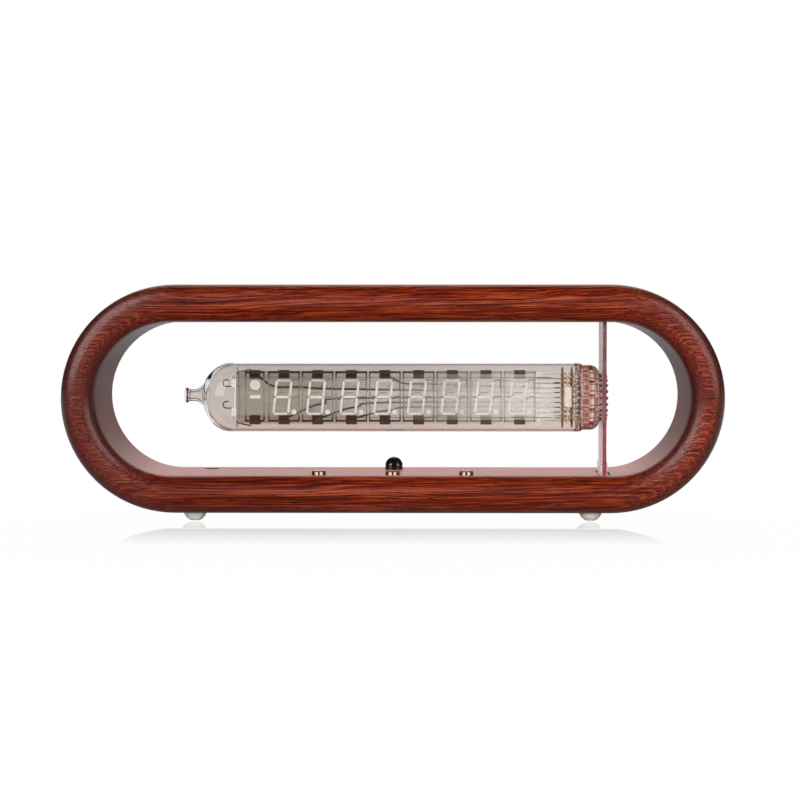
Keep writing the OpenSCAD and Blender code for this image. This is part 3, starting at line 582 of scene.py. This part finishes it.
def phosphor_finish():
    """Matt coat, white at the left and greyer towards the right."""
    phosphor = Finish("phosphor")
    x = phosphor.millimetres("X")[0]
    noise = phosphor.noise(phosphor.stretch((6, 6, 6)), detail=3.0, rough=0.6)
    white = phosphor.mottled(noise, paint(238, 234, 225), paint(250, 248, 241))
    grey = phosphor.mottled(noise, paint(214, 209, 201), paint(234, 230, 223))
    phosphor.colour(phosphor.mixed(phosphor.spread(x, GREY_FROM, GREY_TO, smooth=True), white, grey))
    phosphor.roughness(phosphor.spread(noise, 0.35, 0.65, 0.8, 0.95))
    phosphor.bump(noise, 0.01)
    return phosphor


def feed_finish():
    """Blackened wire, painted paler towards the right, a painted reflection that veils it there."""
    feed = Finish("feed_metal", Specular_IOR_Level=0.1)
    x = feed.millimetres("X")[0]
    noise = feed.noise(feed.stretch((1.2, 4, 4)), detail=2.0)
    dark = feed.mottled(noise, paint(3, 3, 3), paint(16, 14, 13))
    pale = feed.mottled(noise, paint(168, 163, 157), paint(220, 216, 210))
    feed.colour(feed.mixed(feed.spread(x, FEED_VEIL_FROM, FEED_VEIL_TO, smooth=True), dark, pale))
    feed.roughness(feed.spread(noise, 0.3, 0.7, 0.4, 0.6))
    return feed


def brass_finish():
    """Turned brass with a painted reflection: a dark line where it faces the viewer, a painted highlight
    beside it and dark round the sides.
    """
    brass = Finish("brass", Metallic=0.35)
    rings = brass.noise(brass.stretch((0.5, 0.5, 6)), detail=2.0)
    brass.colour(brass.ramp(
        brass.plus(brass.grazing(), brass.spread(rings, 0.3, 0.7, -0.002, 0.002)),
        (0.0, paint(36, 18, 8)),
        (0.008, paint(60, 34, 14)),
        (0.018, paint(255, 244, 214)),
        (0.09, paint(253, 228, 170)),
        (0.17, paint(190, 130, 66)),
        (0.27, paint(84, 44, 18)),
        (1.0, paint(52, 26, 10)),
    ))
    brass.roughness(brass.spread(rings, 0.3, 0.7, 0.16, 0.26))
    brass.bump(rings, 0.004)
    return brass


all_finishes = [
    wood_finish(), tube_finish(), base_finish(), plate_finish(), rubber_finish(),
    lead_finish(), seal_finish(), getter_finish(), grid_finish(), pad_finish(),
    clip_finish(), phosphor_finish(), feed_finish(), brass_finish(),
    laminate("board_laminate", paint(120, 26, 28), paint(138, 34, 36), paint(150, 46, 44)),
    laminate(
        "red_laminate", paint(92, 54, 57), paint(108, 68, 71), paint(128, 88, 89), rough=(0.24, 0.32),
        sheen_face=paint(255, 228, 232), redder=paint(156, 48, 62),
    ),
    speckled(
        "steel", paint(150, 150, 150), paint(196, 195, 192), (0.4, 3, 3), rough=(0.25, 0.4), depth=0.004,
        Metallic=1.0,
    ),
    speckled(
        "tinned", paint(206, 203, 198), paint(246, 244, 240), (2, 2, 2), rough=(0.18, 0.34), depth=0.004,
        Metallic=0.4,
    ),
    speckled(
        "wire_metal", paint(6, 5, 5), paint(24, 21, 20), (1, 4, 4), rough=(0.4, 0.6),
        Specular_IOR_Level=0.1,
    ),
    speckled(
        "filament_wire", paint(56, 52, 50), paint(90, 85, 82), (1, 4, 4), rough=(0.4, 0.6), Metallic=0.3,
    ),
    speckled(
        "spring_leaf", paint(226, 222, 214), paint(250, 248, 243), (1, 2, 2), rough=(0.3, 0.45),
        Metallic=0.2,
    ),
    # painted shade and reflection: the solder is painted dark red-brown, as if in shadow and reflecting the
    # red board
    speckled("solder", paint(62, 30, 30), paint(104, 62, 60), (2, 2, 2), rough=(0.3, 0.5), Metallic=0.3),
    speckled(
        "mica", paint(116, 84, 62), paint(168, 134, 106), (0.5, 0.5, 0.5), rough=(0.6, 0.8),
        Specular_IOR_Level=0.1,
    ),
    speckled("trace", paint(20, 17, 16), paint(46, 42, 40), (3, 3, 3), rough=(0.5, 0.7)),
    speckled("black_plastic", paint(24, 24, 25), paint(40, 40, 41), (4, 4, 4), rough=(0.45, 0.6)),
    speckled(
        "black_lens", paint(6, 6, 7), paint(14, 13, 13), (0.8, 0.8, 0.8), rough=(0.03, 0.06), depth=0.001,
        IOR=1.7,
    ),
    speckled("ivory_plastic", paint(214, 206, 186), paint(232, 226, 210), (2, 2, 2), rough=(0.4, 0.5)),
    speckled(
        "cover_board", paint(108, 72, 46), paint(158, 114, 78), (0.12, 1.6, 1.6), rough=(0.55, 0.75),
        depth=0.03,
    ),
]
finishes = {finish.name: finish for finish in all_finishes}

node_finishes = {
    "wood": ["wood_frame"],
    "cover_board": ["bottom_cover"],
    "steel": ["cover_screws", "board_screws", "switch_plates", "coin_cell", "crystal", "socket_shell"],
    "clear_rubber": ["front_left_foot", "front_right_foot", "rear_left_foot", "rear_right_foot"],
    "brass": ["left_button", "middle_button", "right_button", "board_standoffs"],
    "ivory_plastic": ["left_plunger", "middle_plunger", "right_plunger"],
    "black_plastic": [
        "switch_bodies", "buzzer", "socket_tongue", "controller_chip", "driver_chip", "clock_chip",
        "cell_holder", "boost_coil", "link_strips",
    ],
    "black_lens": ["remote_sensor"],
    "board_laminate": ["main_board"],
    "red_laminate": ["tube_board"],
    "tinned": ["sensor_legs", "link_pins", "capacitors"],
    "solder": ["pin_solder"],
    "lead_wire": ["inner_leads"],
    "filament_wire": ["filaments"],
    "spring_leaf": ["filament_springs", "left_spacer"],
    "wire_metal": ["tail_hooks", "bulb_springs"],
    "plate_glass": ["anode_plate"],
    "phosphor": ["anode_segments"],
    "mica": ["first_disc", "second_disc"],
    "getter_wash": ["getter"],
}
for finish_name, members in node_finishes.items():
    for member in members:
        slots = nodes[member].data.materials
        slots.clear()
        slots.append(finishes[finish_name].material)


# Shared helpers for the pieces made here

def new_piece(name, mesh_builder, finish_names, replaced=(), smooth=False):
    """Makes an object from a bmesh, gives it its finishes and ties it to the clock's body."""
    mesh = bpy.data.meshes.new(name)
    mesh_builder.normal_update()
    mesh_builder.to_mesh(mesh)
    mesh_builder.free()
    for finish_name in finish_names:
        mesh.materials.append(finishes[finish_name].material)
    for face in mesh.polygons:
        face.use_smooth = smooth
    piece = bpy.data.objects.new(name, mesh)
    bpy.context.scene.collection.objects.link(piece)
    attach(piece, BODY)
    if replaced:
        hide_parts(*replaced)


def ring_about(x, middle_y, middle_z, radius, sides):
    """Points of a circle about a line along X."""
    points = []
    for side in range(sides):
        turn = 2 * math.pi * side / sides
        points.append((x, middle_y + radius * math.cos(turn), middle_z + radius * math.sin(turn)))
    return points


def add_skin(mesh, rings):
    """A closed skin: both flat ends first, then the faces from each ring to the next."""
    loops = [[mesh.verts.new(point) for point in ring] for ring in rings]
    faces = [mesh.faces.new(reversed(loops[0])), mesh.faces.new(loops[-1])]
    for first, second in zip(loops, loops[1:]):
        for place in range(len(first)):
            beside = (place + 1) % len(first)
            faces.append(mesh.faces.new((first[place], first[beside], second[beside], second[place])))
    bmesh.ops.recalc_face_normals(mesh, faces=faces)
    return faces


def add_box(mesh, low, high, finish=0):
    made = bmesh.ops.create_cube(mesh, size=1.0)["verts"]
    middle = (Vector(low) + Vector(high)) / 2
    size = Vector(high) - Vector(low)
    for vertex in made:
        vertex.co = Vector((vertex.co[i] * size[i] + middle[i] for i in range(3)))
    for face in {face for vertex in made for face in vertex.link_faces}:
        face.material_index = finish


def add_bar(mesh, start, stop, width, front, back):
    """A flat bar in the XZ plane between two (x, z) points."""
    start = Vector(start)
    stop = Vector(stop)
    along = (stop - start).normalized() * width / 2
    across = Vector((-along.y, along.x))
    corners = [start - along + across, start - along - across, stop + along - across, stop + along + across]
    near = [mesh.verts.new((corner.x, front, corner.y)) for corner in corners]
    far = [mesh.verts.new((corner.x, back, corner.y)) for corner in corners]
    mesh.faces.new(near)
    mesh.faces.new(reversed(far))
    for i in range(4):
        j = (i + 1) % 4
        mesh.faces.new((near[j], near[i], far[i], far[j]))


def curve(points, steps):
    """A smooth run through flat points."""
    run = []
    for i in range(len(points) - 1):
        before = Vector(points[max(i - 1, 0)])
        here = Vector(points[i])
        there = Vector(points[i + 1])
        after = Vector(points[min(i + 2, len(points) - 1)])
        for step in range(steps):
            t = step / steps
            place = 0.5 * (
                2 * here + (there - before) * t
                + (2 * before - 5 * here + 4 * there - after) * t ** 2
                + (3 * here - before - 3 * there + after) * t ** 3
            )
            run.append((place.x, place.y))
    run.append(points[-1])
    return run


# Blown envelope and pressed base, as one closed skin turned about the tube's axis

WALL = 0.48 * MM
DOME_WALL = 0.95 * MM
DOME_DEPTH = 8.1 * MM
DOME_STEPS = 24
CORNER_STEPS = 12
NECK_STEPS = 4
BASE_CORNER = 2.6 * MM
TIP_RISE = 0.55 * MM
TIP_LENGTH = 4.75 * MM
TIP_BLEND = 3.0 * MM
AROUND = 128
TUBE_FINISH = 0
BASE_FINISH = 1


def arc(centre_x, centre_r, radius, start, stop, steps):
    """Points (x, r) on an arc; 0 degrees points to the left and 90 degrees outwards."""
    points = []
    for step in range(steps + 1):
        turn = math.radians(start + (stop - start) * step / steps)
        points.append((centre_x - radius * math.cos(turn), centre_r + radius * math.sin(turn)))
    return points


def dome(radius, crown, depth, least):
    """The dome as (x, r) on a quarter of an ellipse, from the cylinder inwards to the least radius."""
    points = []
    last = math.asin(least / radius)
    for step in range(DOME_STEPS + 1):
        turn = math.pi / 2 + (last - math.pi / 2) * step / DOME_STEPS
        points.append((crown + depth * (1 - math.cos(turn)), radius * math.sin(turn)))
    return points


def tube_profile():
    """Rings of the glass as (x, radius, rise, finish), from the outside of the base round to its inside."""
    tip = glass_low.x
    crown = tip + TIP_LENGTH
    inside = TUBE_R - WALL
    rings = []

    def put(points, finish=TUBE_FINISH):
        for x, radius in points:
            # the drawn-off tip sits a little above the axis
            share = min(max((crown + TIP_BLEND - x) / TIP_BLEND, 0.0), 1.0)
            rise = TIP_RISE * share * share * (3 - 2 * share)
            rings.append((x, radius, rise, finish))

    corner_r = BASE_R - BASE_CORNER
    put([(TUBE_END, corner_r * part) for part in (0.02, 0.35, 0.7)], BASE_FINISH)
    put(arc(TUBE_END - BASE_CORNER, corner_r, BASE_CORNER, 180, 90, CORNER_STEPS), BASE_FINISH)
    flare = [
        (WELD + 1.3 * MM, BASE_R), (WELD + 0.85 * MM, BASE_R + 0.07 * MM),
        (WELD + 0.5 * MM, BASE_R + 0.28 * MM),
    ]
    put(flare, BASE_FINISH)
    put([(WELD + 0.15 * MM, TUBE_R - 0.04 * MM), (WELD - 0.5 * MM, TUBE_R)])
    put(dome(TUBE_R, crown, DOME_DEPTH, 3.05 * MM))
    put([(crown + 0.15 * MM, 2.75 * MM), (crown - 0.5 * MM, 2.3 * MM), (crown - 1.1 * MM, 1.86 * MM)])
    neck = [
        (crown - 1.45 * MM, 1.66 * MM), (crown - 2.2 * MM, 1.62 * MM), (tip + 1.3 * MM, 1.7 * MM),
        (tip + 0.75 * MM, 2.02 * MM), (tip + 0.35 * MM, 2.05 * MM), (tip + 0.08 * MM, 1.8 * MM),
        (tip, 1.2 * MM), (tip + 0.1 * MM, 0.4 * MM), (tip + 0.12 * MM, 0.02 * MM),
    ]
    put(curve(neck, NECK_STEPS))
    hollow = [
        (tip + 0.8 * MM, 0.02 * MM), (tip + 0.85 * MM, 0.5 * MM), (tip + 1.3 * MM, 0.85 * MM),
        (crown - 1.6 * MM, 0.9 * MM), (crown - 0.7 * MM, 1.2 * MM), (crown + 0.2 * MM, 1.85 * MM),
    ]
    put(curve(hollow, NECK_STEPS))
    put(reversed(dome(inside, crown + DOME_WALL, DOME_DEPTH - 0.3 * MM, 2.6 * MM)))
    put([(WELD - 2.0 * MM, inside), (WELD - 0.35 * MM, inside)])
    put([(WELD + 0.02 * MM, inside - 0.4 * MM), (WELD + 0.12 * MM, inside - 1.2 * MM)], BASE_FINISH)
    put([(WELD + 0.15 * MM, (TUBE_R - 3 * MM) * part) for part in (1.0, 0.5, 0.02)], BASE_FINISH)
    return rings


def turned_glass():
    skin = bmesh.new()
    rings = []
    ring_finishes = []
    for x, radius, rise, finish in tube_profile():
        rings.append(ring_about(x, AXIS_Y, AXIS_Z + rise, radius, AROUND))
        ring_finishes.append(finish)
    faces = add_skin(skin, rings)
    ends, sides = faces[:2], faces[2:]
    for face in ends:
        face.material_index = BASE_FINISH
    for place, face in enumerate(sides):
        face.material_index = ring_finishes[place // AROUND]
    return skin


new_piece(
    "tube_glass_skin", turned_glass(), ["tube_glass", "base_glass"],
    ("glass_envelope", "glass_base"), smooth=True,
)


# Grids: a rim, a fine honeycomb, a dark pad behind it at each end and a clip round the plate

CELL = 0.6 * MM
CELL_BAR = 0.022 * MM
BAR_FRONT = 0.02 * MM
BAR_BACK = 0.03 * MM
LEAST_STUB = 0.05
PARALLEL = 1e-12
RIM = 0.33 * MM
END_RIM = 0.5 * MM
GRID_HALF = 6.95 * MM
GRID_SHEET = 0.12 * MM
PAD_WIDTH = 3.0 * MM
PAD_LAP = 0.1 * MM
PAD_FRONT = 0.02 * MM
PAD_BACK = 0.04 * MM
# upper and lower end of a grid: its side, then where its pad and its clip begin, from the axis
ENDS = ((1, 5.15 * MM, 6.35 * MM), (-1, 4.95 * MM, 6.2 * MM))
CLIP_SHEET = 0.15 * MM
CLIP_GAP = 0.05 * MM
CLIP_PROUD = 0.01 * MM
CLIP_HOOK = 0.9 * MM
CLIP_FINISH = 1
PAD_FINISH = 2


def clipped(start, stop, half_x, half_z):
    """The part of a line inside a rectangle about the origin, or None."""
    low, high = 0.0, 1.0
    run = (stop[0] - start[0], stop[1] - start[1])
    for begin, change, half in ((start[0], run[0], half_x), (start[1], run[1], half_z)):
        if abs(change) < PARALLEL:
            if abs(begin) > half:
                return None
            continue
        first, last = sorted(((-half - begin) / change, (half - begin) / change))
        low, high = max(low, first), min(high, last)
    if high - low < LEAST_STUB:
        return None
    return tuple((start[0] + run[0] * t, start[1] + run[1] * t) for t in (low, high))


def honeycomb(half_x, half_z):
    """The edges of a honeycomb that fills a rectangle about the origin."""
    side = CELL / math.sqrt(3)
    edges = []
    rows = int(half_z / (1.5 * side)) + 2
    columns = int(half_x / CELL) + 2
    for row in range(-rows, rows + 1):
        for column in range(-columns, columns + 1):
            x = (column + (row % 2) / 2) * CELL
            z = row * 1.5 * side
            corners = []
            for turn in (-30, 30, 90, 150):
                angle = math.radians(turn)
                corners.append((x + side * math.cos(angle), z + side * math.sin(angle)))
            for start, stop in zip(corners, corners[1:]):
                edge = clipped(start, stop, half_x, half_z)
                if edge:
                    edges.append(edge)
    return edges


def add_clip(mesh, middle_x, side, clip_start, front, back):
    """A strip bent from the front of a grid round the plate's edge to its back."""
    top = plate_high.z - AXIS_Z + CLIP_GAP
    rear = plate_high.y + CLIP_GAP
    nose = front - CLIP_PROUD
    profile = [
        (nose, clip_start), (nose, top + CLIP_SHEET), (rear + CLIP_SHEET, top + CLIP_SHEET),
        (rear + CLIP_SHEET, top - CLIP_HOOK), (rear, top - CLIP_HOOK), (rear, top), (back, top),
        (back, clip_start),
    ]
    outlines = []
    for x in (middle_x - PAD_WIDTH / 2, middle_x + PAD_WIDTH / 2):
        outlines.append([(x, y, AXIS_Z + side * z) for y, z in profile])
    for face in add_skin(mesh, outlines):
        face.material_index = CLIP_FINISH


def grid_mesh(node):
    low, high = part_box(node)
    middle_x = (low.x + high.x) / 2
    half_x = (high.x - low.x) / 2
    front = low.y
    back = front + GRID_SHEET
    grid_z = AXIS_Z + GRID_RISE
    mesh = bmesh.new()
    for edge in honeycomb(half_x - RIM, GRID_HALF - RIM):
        start, stop = [(middle_x + x, grid_z + z) for x, z in edge]
        add_bar(mesh, start, stop, CELL_BAR, front + BAR_FRONT, back - BAR_BACK)
    for side in (-1, 1):
        edge_x = middle_x + side * (half_x - RIM / 2)
        add_box(
            mesh, (edge_x - RIM / 2, front, grid_z - GRID_HALF),
            (edge_x + RIM / 2, back, grid_z + GRID_HALF),
        )
        edge_z = grid_z + side * (GRID_HALF - END_RIM / 2)
        add_box(
            mesh, (middle_x - half_x, front, edge_z - END_RIM / 2),
            (middle_x + half_x, back, edge_z + END_RIM / 2),
        )
    for side, pad_start, clip_start in ENDS:
        pad_low, pad_high = sorted((AXIS_Z + side * pad_start, AXIS_Z + side * (clip_start + PAD_LAP)))
        add_box(
            mesh, (middle_x - PAD_WIDTH / 2, back - PAD_FRONT, pad_low),
            (middle_x + PAD_WIDTH / 2, back + PAD_BACK, pad_high), PAD_FINISH,
        )
        add_clip(mesh, middle_x, side, clip_start, front, back)
    return mesh


for place in range(GRID_COUNT):
    new_piece(
        f"fine_grid_{place}", grid_mesh(f"grid_{place}"), ["grid_metal", "clip_metal", "pad_metal"],
        (f"grid_{place}",),
    )


# Wires through the base: thin where the glass holds them, thicker outside

PIN_COUNT = 22
PIN_CIRCLE = 12.6 * MM
WIRE_SIDES = 12
PIN_PROFILE = [
    (pins_low.x, 0.02 * MM), (pins_low.x, 0.17 * MM), (WELD + 0.3 * MM, 0.15 * MM),
    (TUBE_END - 1.2 * MM, 0.15 * MM), (TUBE_END - 0.3 * MM, 0.23 * MM), (TUBE_END + 0.1 * MM, 0.25 * MM),
    (pins_high.x - 0.1 * MM, 0.25 * MM), (pins_high.x - 0.02 * MM, 0.2 * MM), (pins_high.x, 0.02 * MM),
]


def pin_mesh():
    mesh = bmesh.new()
    for pin in range(PIN_COUNT):
        place = 2 * math.pi * pin / PIN_COUNT
        middle_y = AXIS_Y - PIN_CIRCLE / 2 * math.cos(place)
        middle_z = AXIS_Z + PIN_CIRCLE / 2 * math.sin(place)
        add_skin(mesh, [ring_about(x, middle_y, middle_z, radius, WIRE_SIDES) for x, radius in PIN_PROFILE])
    return mesh


new_piece("seal_wires", pin_mesh(), ["seal_wire"], ("base_pins",), smooth=True)


# Feed wires behind the plate, from each grid to its lead

FEED_WIRE = 0.55 * MM
FEED_REST = 0.05 * MM
FEED_INSET = 1.15 * MM
FEED_STEPS = 6
BACK_PITCH = 1.3 * MM
FEED_EDGES = (1, -1, -1, -1, 1, -1, 1, -1, 1)
FEED_LEADS = (1, 0, -1, -2, 2, -3, 3, -4, 4)
# bends of a wire fed from above and from below: how far on in millimetres, at most what share of the run,
# and what share of the drop is left
FEED_BENDS = {
    1: ((1.7, 0.15, 0.8), (5.3, 0.35, 0.33), (12.9, 0.6, 0.29), (24.3, 0.85, 0.19)),
    -1: ((2.6, 0.15, 0.8), (5.5, 0.35, 0.57), (8.3, 0.5, 0.39), (11.4, 0.65, 0.27), (16.9, 0.85, 0.06)),
}


def add_wire(mesh, points, thickness, middle_y):
    """A round wire in a plane parallel to the plate, along (x, z) points."""
    rings = []
    for i, point in enumerate(points):
        before = Vector(points[max(i - 1, 0)])
        after = Vector(points[min(i + 1, len(points) - 1)])
        along = (after - before).normalized()
        ring = []
        for side in range(WIRE_SIDES):
            turn = 2 * math.pi * side / WIRE_SIDES
            out = thickness / 2 * math.cos(turn)
            depth = thickness / 2 * math.sin(turn)
            ring.append((point[0] - along.y * out, middle_y + depth, point[1] + along.x * out))
        rings.append(ring)
    add_skin(mesh, rings)


def feed_mesh():
    mesh = bmesh.new()
    edge = plate_high.z - AXIS_Z - FEED_INSET
    for place in range(GRID_COUNT):
        low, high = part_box(f"grid_{place}")
        begin = (low.x + high.x) / 2
        start_z = FEED_EDGES[place] * edge
        lead_z = FEED_LEADS[place] * BACK_PITCH
        length = FEED_END - begin
        bends = [(begin, start_z)]
        for reach, most, share in FEED_BENDS[FEED_EDGES[place]]:
            bends.append((begin + min(reach * MM, most * length), lead_z + share * (start_z - lead_z)))
        bends.append((FEED_END, lead_z))
        run = [(x, AXIS_Z + z) for x, z in curve(bends, FEED_STEPS)]
        add_wire(mesh, run, FEED_WIRE, plate_high.y + FEED_REST + FEED_WIRE / 2)
    return mesh


new_piece("feed_wires", feed_mesh(), ["feed_metal"], ("grid_wires",), smooth=True)


# Printed conductors on the plate, a few by each digit, in millimetres from the digit's middle

TRACE_WIDTH = 0.14 * MM
TRACE_HEIGHT = 0.03 * MM
TRACE_GAP = 0.002 * MM
TRACE_PATHS = [
    [(0.5, 3.05), (1.6, 3.05), (2.6, 4.85), (3.95, 4.85), (3.95, 2.2)],
    [(-3.6, 0.1), (-2.5, 0.1), (-1.3, 1.2), (0.6, 1.2)],
    [(0.5, -1.15), (1.5, -1.15), (2.7, 0.15), (3.95, 0.15)],
]


def trace_mesh():
    mesh = bmesh.new()
    # the first grid covers the sign, the others a digit each
    for place in range(1, GRID_COUNT):
        low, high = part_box(f"grid_{place}")
        middle_x = (low.x + high.x) / 2
        for path in TRACE_PATHS:
            points = [(middle_x + x * MM, AXIS_Z + z * MM) for x, z in path]
            for start, stop in zip(points, points[1:]):
                add_bar(mesh, start, stop, TRACE_WIDTH, plate_low.y - TRACE_HEIGHT, plate_low.y - TRACE_GAP)
    return mesh


new_piece("plate_conductors", trace_mesh(), ["trace"])


# Floor, with the places of its mirror in millimetres

FLOOR_SIZE = 3.0
MIRROR_SHARE = 0.3
MIRROR_FADE = (-84.0, -40.0)
MIRROR_RIM = (-41.0, -37.0)
BOW_FROM = 58.0
BOW = 0.35
OVAL_SHARE = 0.32
OVAL_X = 51.9
OVAL_Y = -38.0
OVAL_LEAN = 0.082
OVAL_HALF_X = 3.2
OVAL_HALF_Y = 21.0


def floor_gloss(paper, x, y):
    """How much of the floor is a mirror; only low views, such as the camera's, see it."""
    # in front of the clock, within a rim that bends forward at both ends
    outward = paper.sums("ABSOLUTE", x)
    beside = paper.sums("MAXIMUM", paper.sums("SUBTRACT", outward, BOW_FROM), 0.0)
    bow = paper.times(beside, beside, BOW)
    within = paper.spread(paper.plus(y, bow), *MIRROR_RIM, 1.0, 0.0)
    gloss = paper.times(paper.spread(y, *MIRROR_FADE, 0.0, MIRROR_SHARE), within)
    # and in half an oval in front of each front foot
    ahead = paper.sums("SUBTRACT", y, OVAL_Y)
    middle = paper.plus(OVAL_X, paper.times(ahead, OVAL_LEAN))
    foot_x = paper.sums("DIVIDE", paper.sums("SUBTRACT", outward, middle), OVAL_HALF_X)
    foot_y = paper.sums("DIVIDE", ahead, OVAL_HALF_Y)
    oval = paper.plus(paper.times(foot_x, foot_x), paper.times(foot_y, foot_y))
    oval = paper.times(paper.spread(oval, 0.75, 1.0, OVAL_SHARE, 0.0), paper.spread(ahead, -1.0, 1.0))
    return paper.times(paper.sums("MAXIMUM", gloss, oval), paper.spread(paper.grazing(), 0.78, 0.88))


def floor_finish():
    paper = Finish("floor_paper", Roughness=0.9)
    grain = paper.noise(paper.stretch((0.05, 0.05, 0.05)), detail=2.0)
    paper.colour(paper.mottled(grain, paint(172, 172, 172), paint(178, 178, 178), 0.3, 0.7))
    x, y = paper.millimetres("XY")
    path = paper.add("LightPath").outputs
    # the camera and rays through glass see white paper, with a trace of shadow round the clock
    through = paper.times(path["Is Transmission Ray"], paper.spread(y, -80.0, -20.0))
    seen = paper.sums("MAXIMUM", path["Is Camera Ray"], through)
    distance = paper.add("VectorMath", operation="LENGTH")
    paper.feed(distance.inputs[0], paper.coordinates)
    share = paper.spread(distance.outputs["Value"], 0.12, 0.32, 0.985, 1.0, smooth=True)
    white = paper.add("Emission")
    surface = paper.blended(paper.times(seen, share), paper.shader.outputs[0], white.outputs[0])
    # gloss on the clock sees a sheet that is dim in front of it
    dim = paper.add("Emission")
    paper.feed(dim.inputs["Strength"], paper.spread(y, -60.0, 60.0, 0.05, 0.65, smooth=True))
    mirrored = paper.sums("GREATER_THAN", path["Is Glossy Ray"], path["Is Transmission Ray"])
    surface = paper.blended(mirrored, surface, dim.outputs[0])
    # the sheet itself mirrors a little
    mirror = paper.add("BsdfGlossy")
    mirror.inputs["Color"].default_value = (1.0, 1.0, 1.0, 1.0)
    mirror.inputs["Roughness"].default_value = 0.03
    gloss = paper.times(floor_gloss(paper, x, y), path["Is Camera Ray"])
    paper.feed(paper.output.inputs["Surface"], paper.blended(gloss, surface, mirror.outputs[0]))
    return paper


def make_floor():
    mesh = bmesh.new()
    bmesh.ops.create_grid(mesh, x_segments=2, y_segments=2, size=FLOOR_SIZE)
    data = bpy.data.meshes.new("floor")
    mesh.to_mesh(data)
    mesh.free()
    floor = bpy.data.objects.new("floor", data)
    bpy.context.scene.collection.objects.link(floor)
    data.materials.append(floor_finish().material)


# World and lamps

def make_world():
    """White to the camera; in gloss and through glass, white behind the clock and dim in front of it."""
    world = bpy.data.worlds.new("studio")
    bpy.context.scene.world = world
    world.use_nodes = True
    sky = Shading(world.node_tree)
    sky.tree.nodes.clear()
    place = sky.split(sky.add("TexCoord").outputs["Generated"])
    behind = sky.spread(place["Y"], 0.3, 0.7, smooth=True)
    narrow = sky.spread(sky.sums("ABSOLUTE", place["X"]), 0.1, 0.4, 1.0, 0.12, smooth=True)
    gloss = sky.spread(sky.times(behind, narrow), 0.0, 1.0, 0.025, 1.0, smooth=True)
    through = sky.spread(place["Y"], -0.2, 0.2, 0.4, 1.0, smooth=True)
    path = sky.add("LightPath").outputs
    level = sky.spread(path["Is Glossy Ray"], 0.0, 1.0, 0.12, gloss)
    level = sky.spread(path["Is Transmission Ray"], 0.0, 1.0, level, through)
    level = sky.spread(path["Is Camera Ray"], 0.0, 1.0, level, 1.0)
    background = sky.add("Background")
    background.inputs["Color"].default_value = (1.0, 1.0, 1.0, 1.0)
    sky.feed(background.inputs["Strength"], level)
    sky.feed(sky.add("OutputWorld").inputs["Surface"], background.outputs[0])


LIT_POINT = (0.0, 0.0, 0.033)


def softbox(name, place, width, height, power, in_gloss=True, in_diffuse=True):
    lamp = bpy.data.lights.new(name, "AREA")
    lamp.shape = "RECTANGLE"
    lamp.size = width
    lamp.size_y = height
    lamp.energy = power
    holder = bpy.data.objects.new(name, lamp)
    bpy.context.scene.collection.objects.link(holder)
    direction = Vector(LIT_POINT) - Vector(place)
    aim = direction.to_track_quat("-Z", "Y").to_matrix().to_4x4()
    holder.matrix_world = Matrix.Translation(place) @ aim
    holder.visible_camera = False
    holder.visible_transmission = False
    holder.visible_glossy = in_gloss
    holder.visible_diffuse = in_diffuse


make_floor()
make_world()
softbox("left_panel", (-0.76, -0.61, 0.6), width=0.9, height=1.1, power=11.2, in_diffuse=False)
softbox("right_panel", (0.83, -0.52, 0.55), width=0.7, height=1.1, power=6.6, in_diffuse=False)
softbox("front_fill", (0.0, -1.25, 0.33), width=0.9, height=0.6, power=20.0, in_gloss=False)
softbox("rear_panel", (0.0, 0.9, 0.6), width=1.1, height=0.45, power=25.0, in_gloss=False)


# Camera

CAMERA_PLACE = (0.0109, -0.674, 0.0579)
CAMERA_DOWN = 2.17
CAMERA_LEFT = 0.77

lens = bpy.data.cameras.new("camera")
lens.lens = 109.1
lens.sensor_width = 36.0
lens.clip_start = 0.01
camera = bpy.data.objects.new("camera", lens)
camera.location = CAMERA_PLACE
camera.rotation_euler = (math.radians(90 - CAMERA_DOWN), 0.0, math.radians(CAMERA_LEFT))
bpy.context.scene.collection.objects.link(camera)
bpy.context.scene.camera = camera

bpy.context.scene.view_settings.view_transform = "Standard"
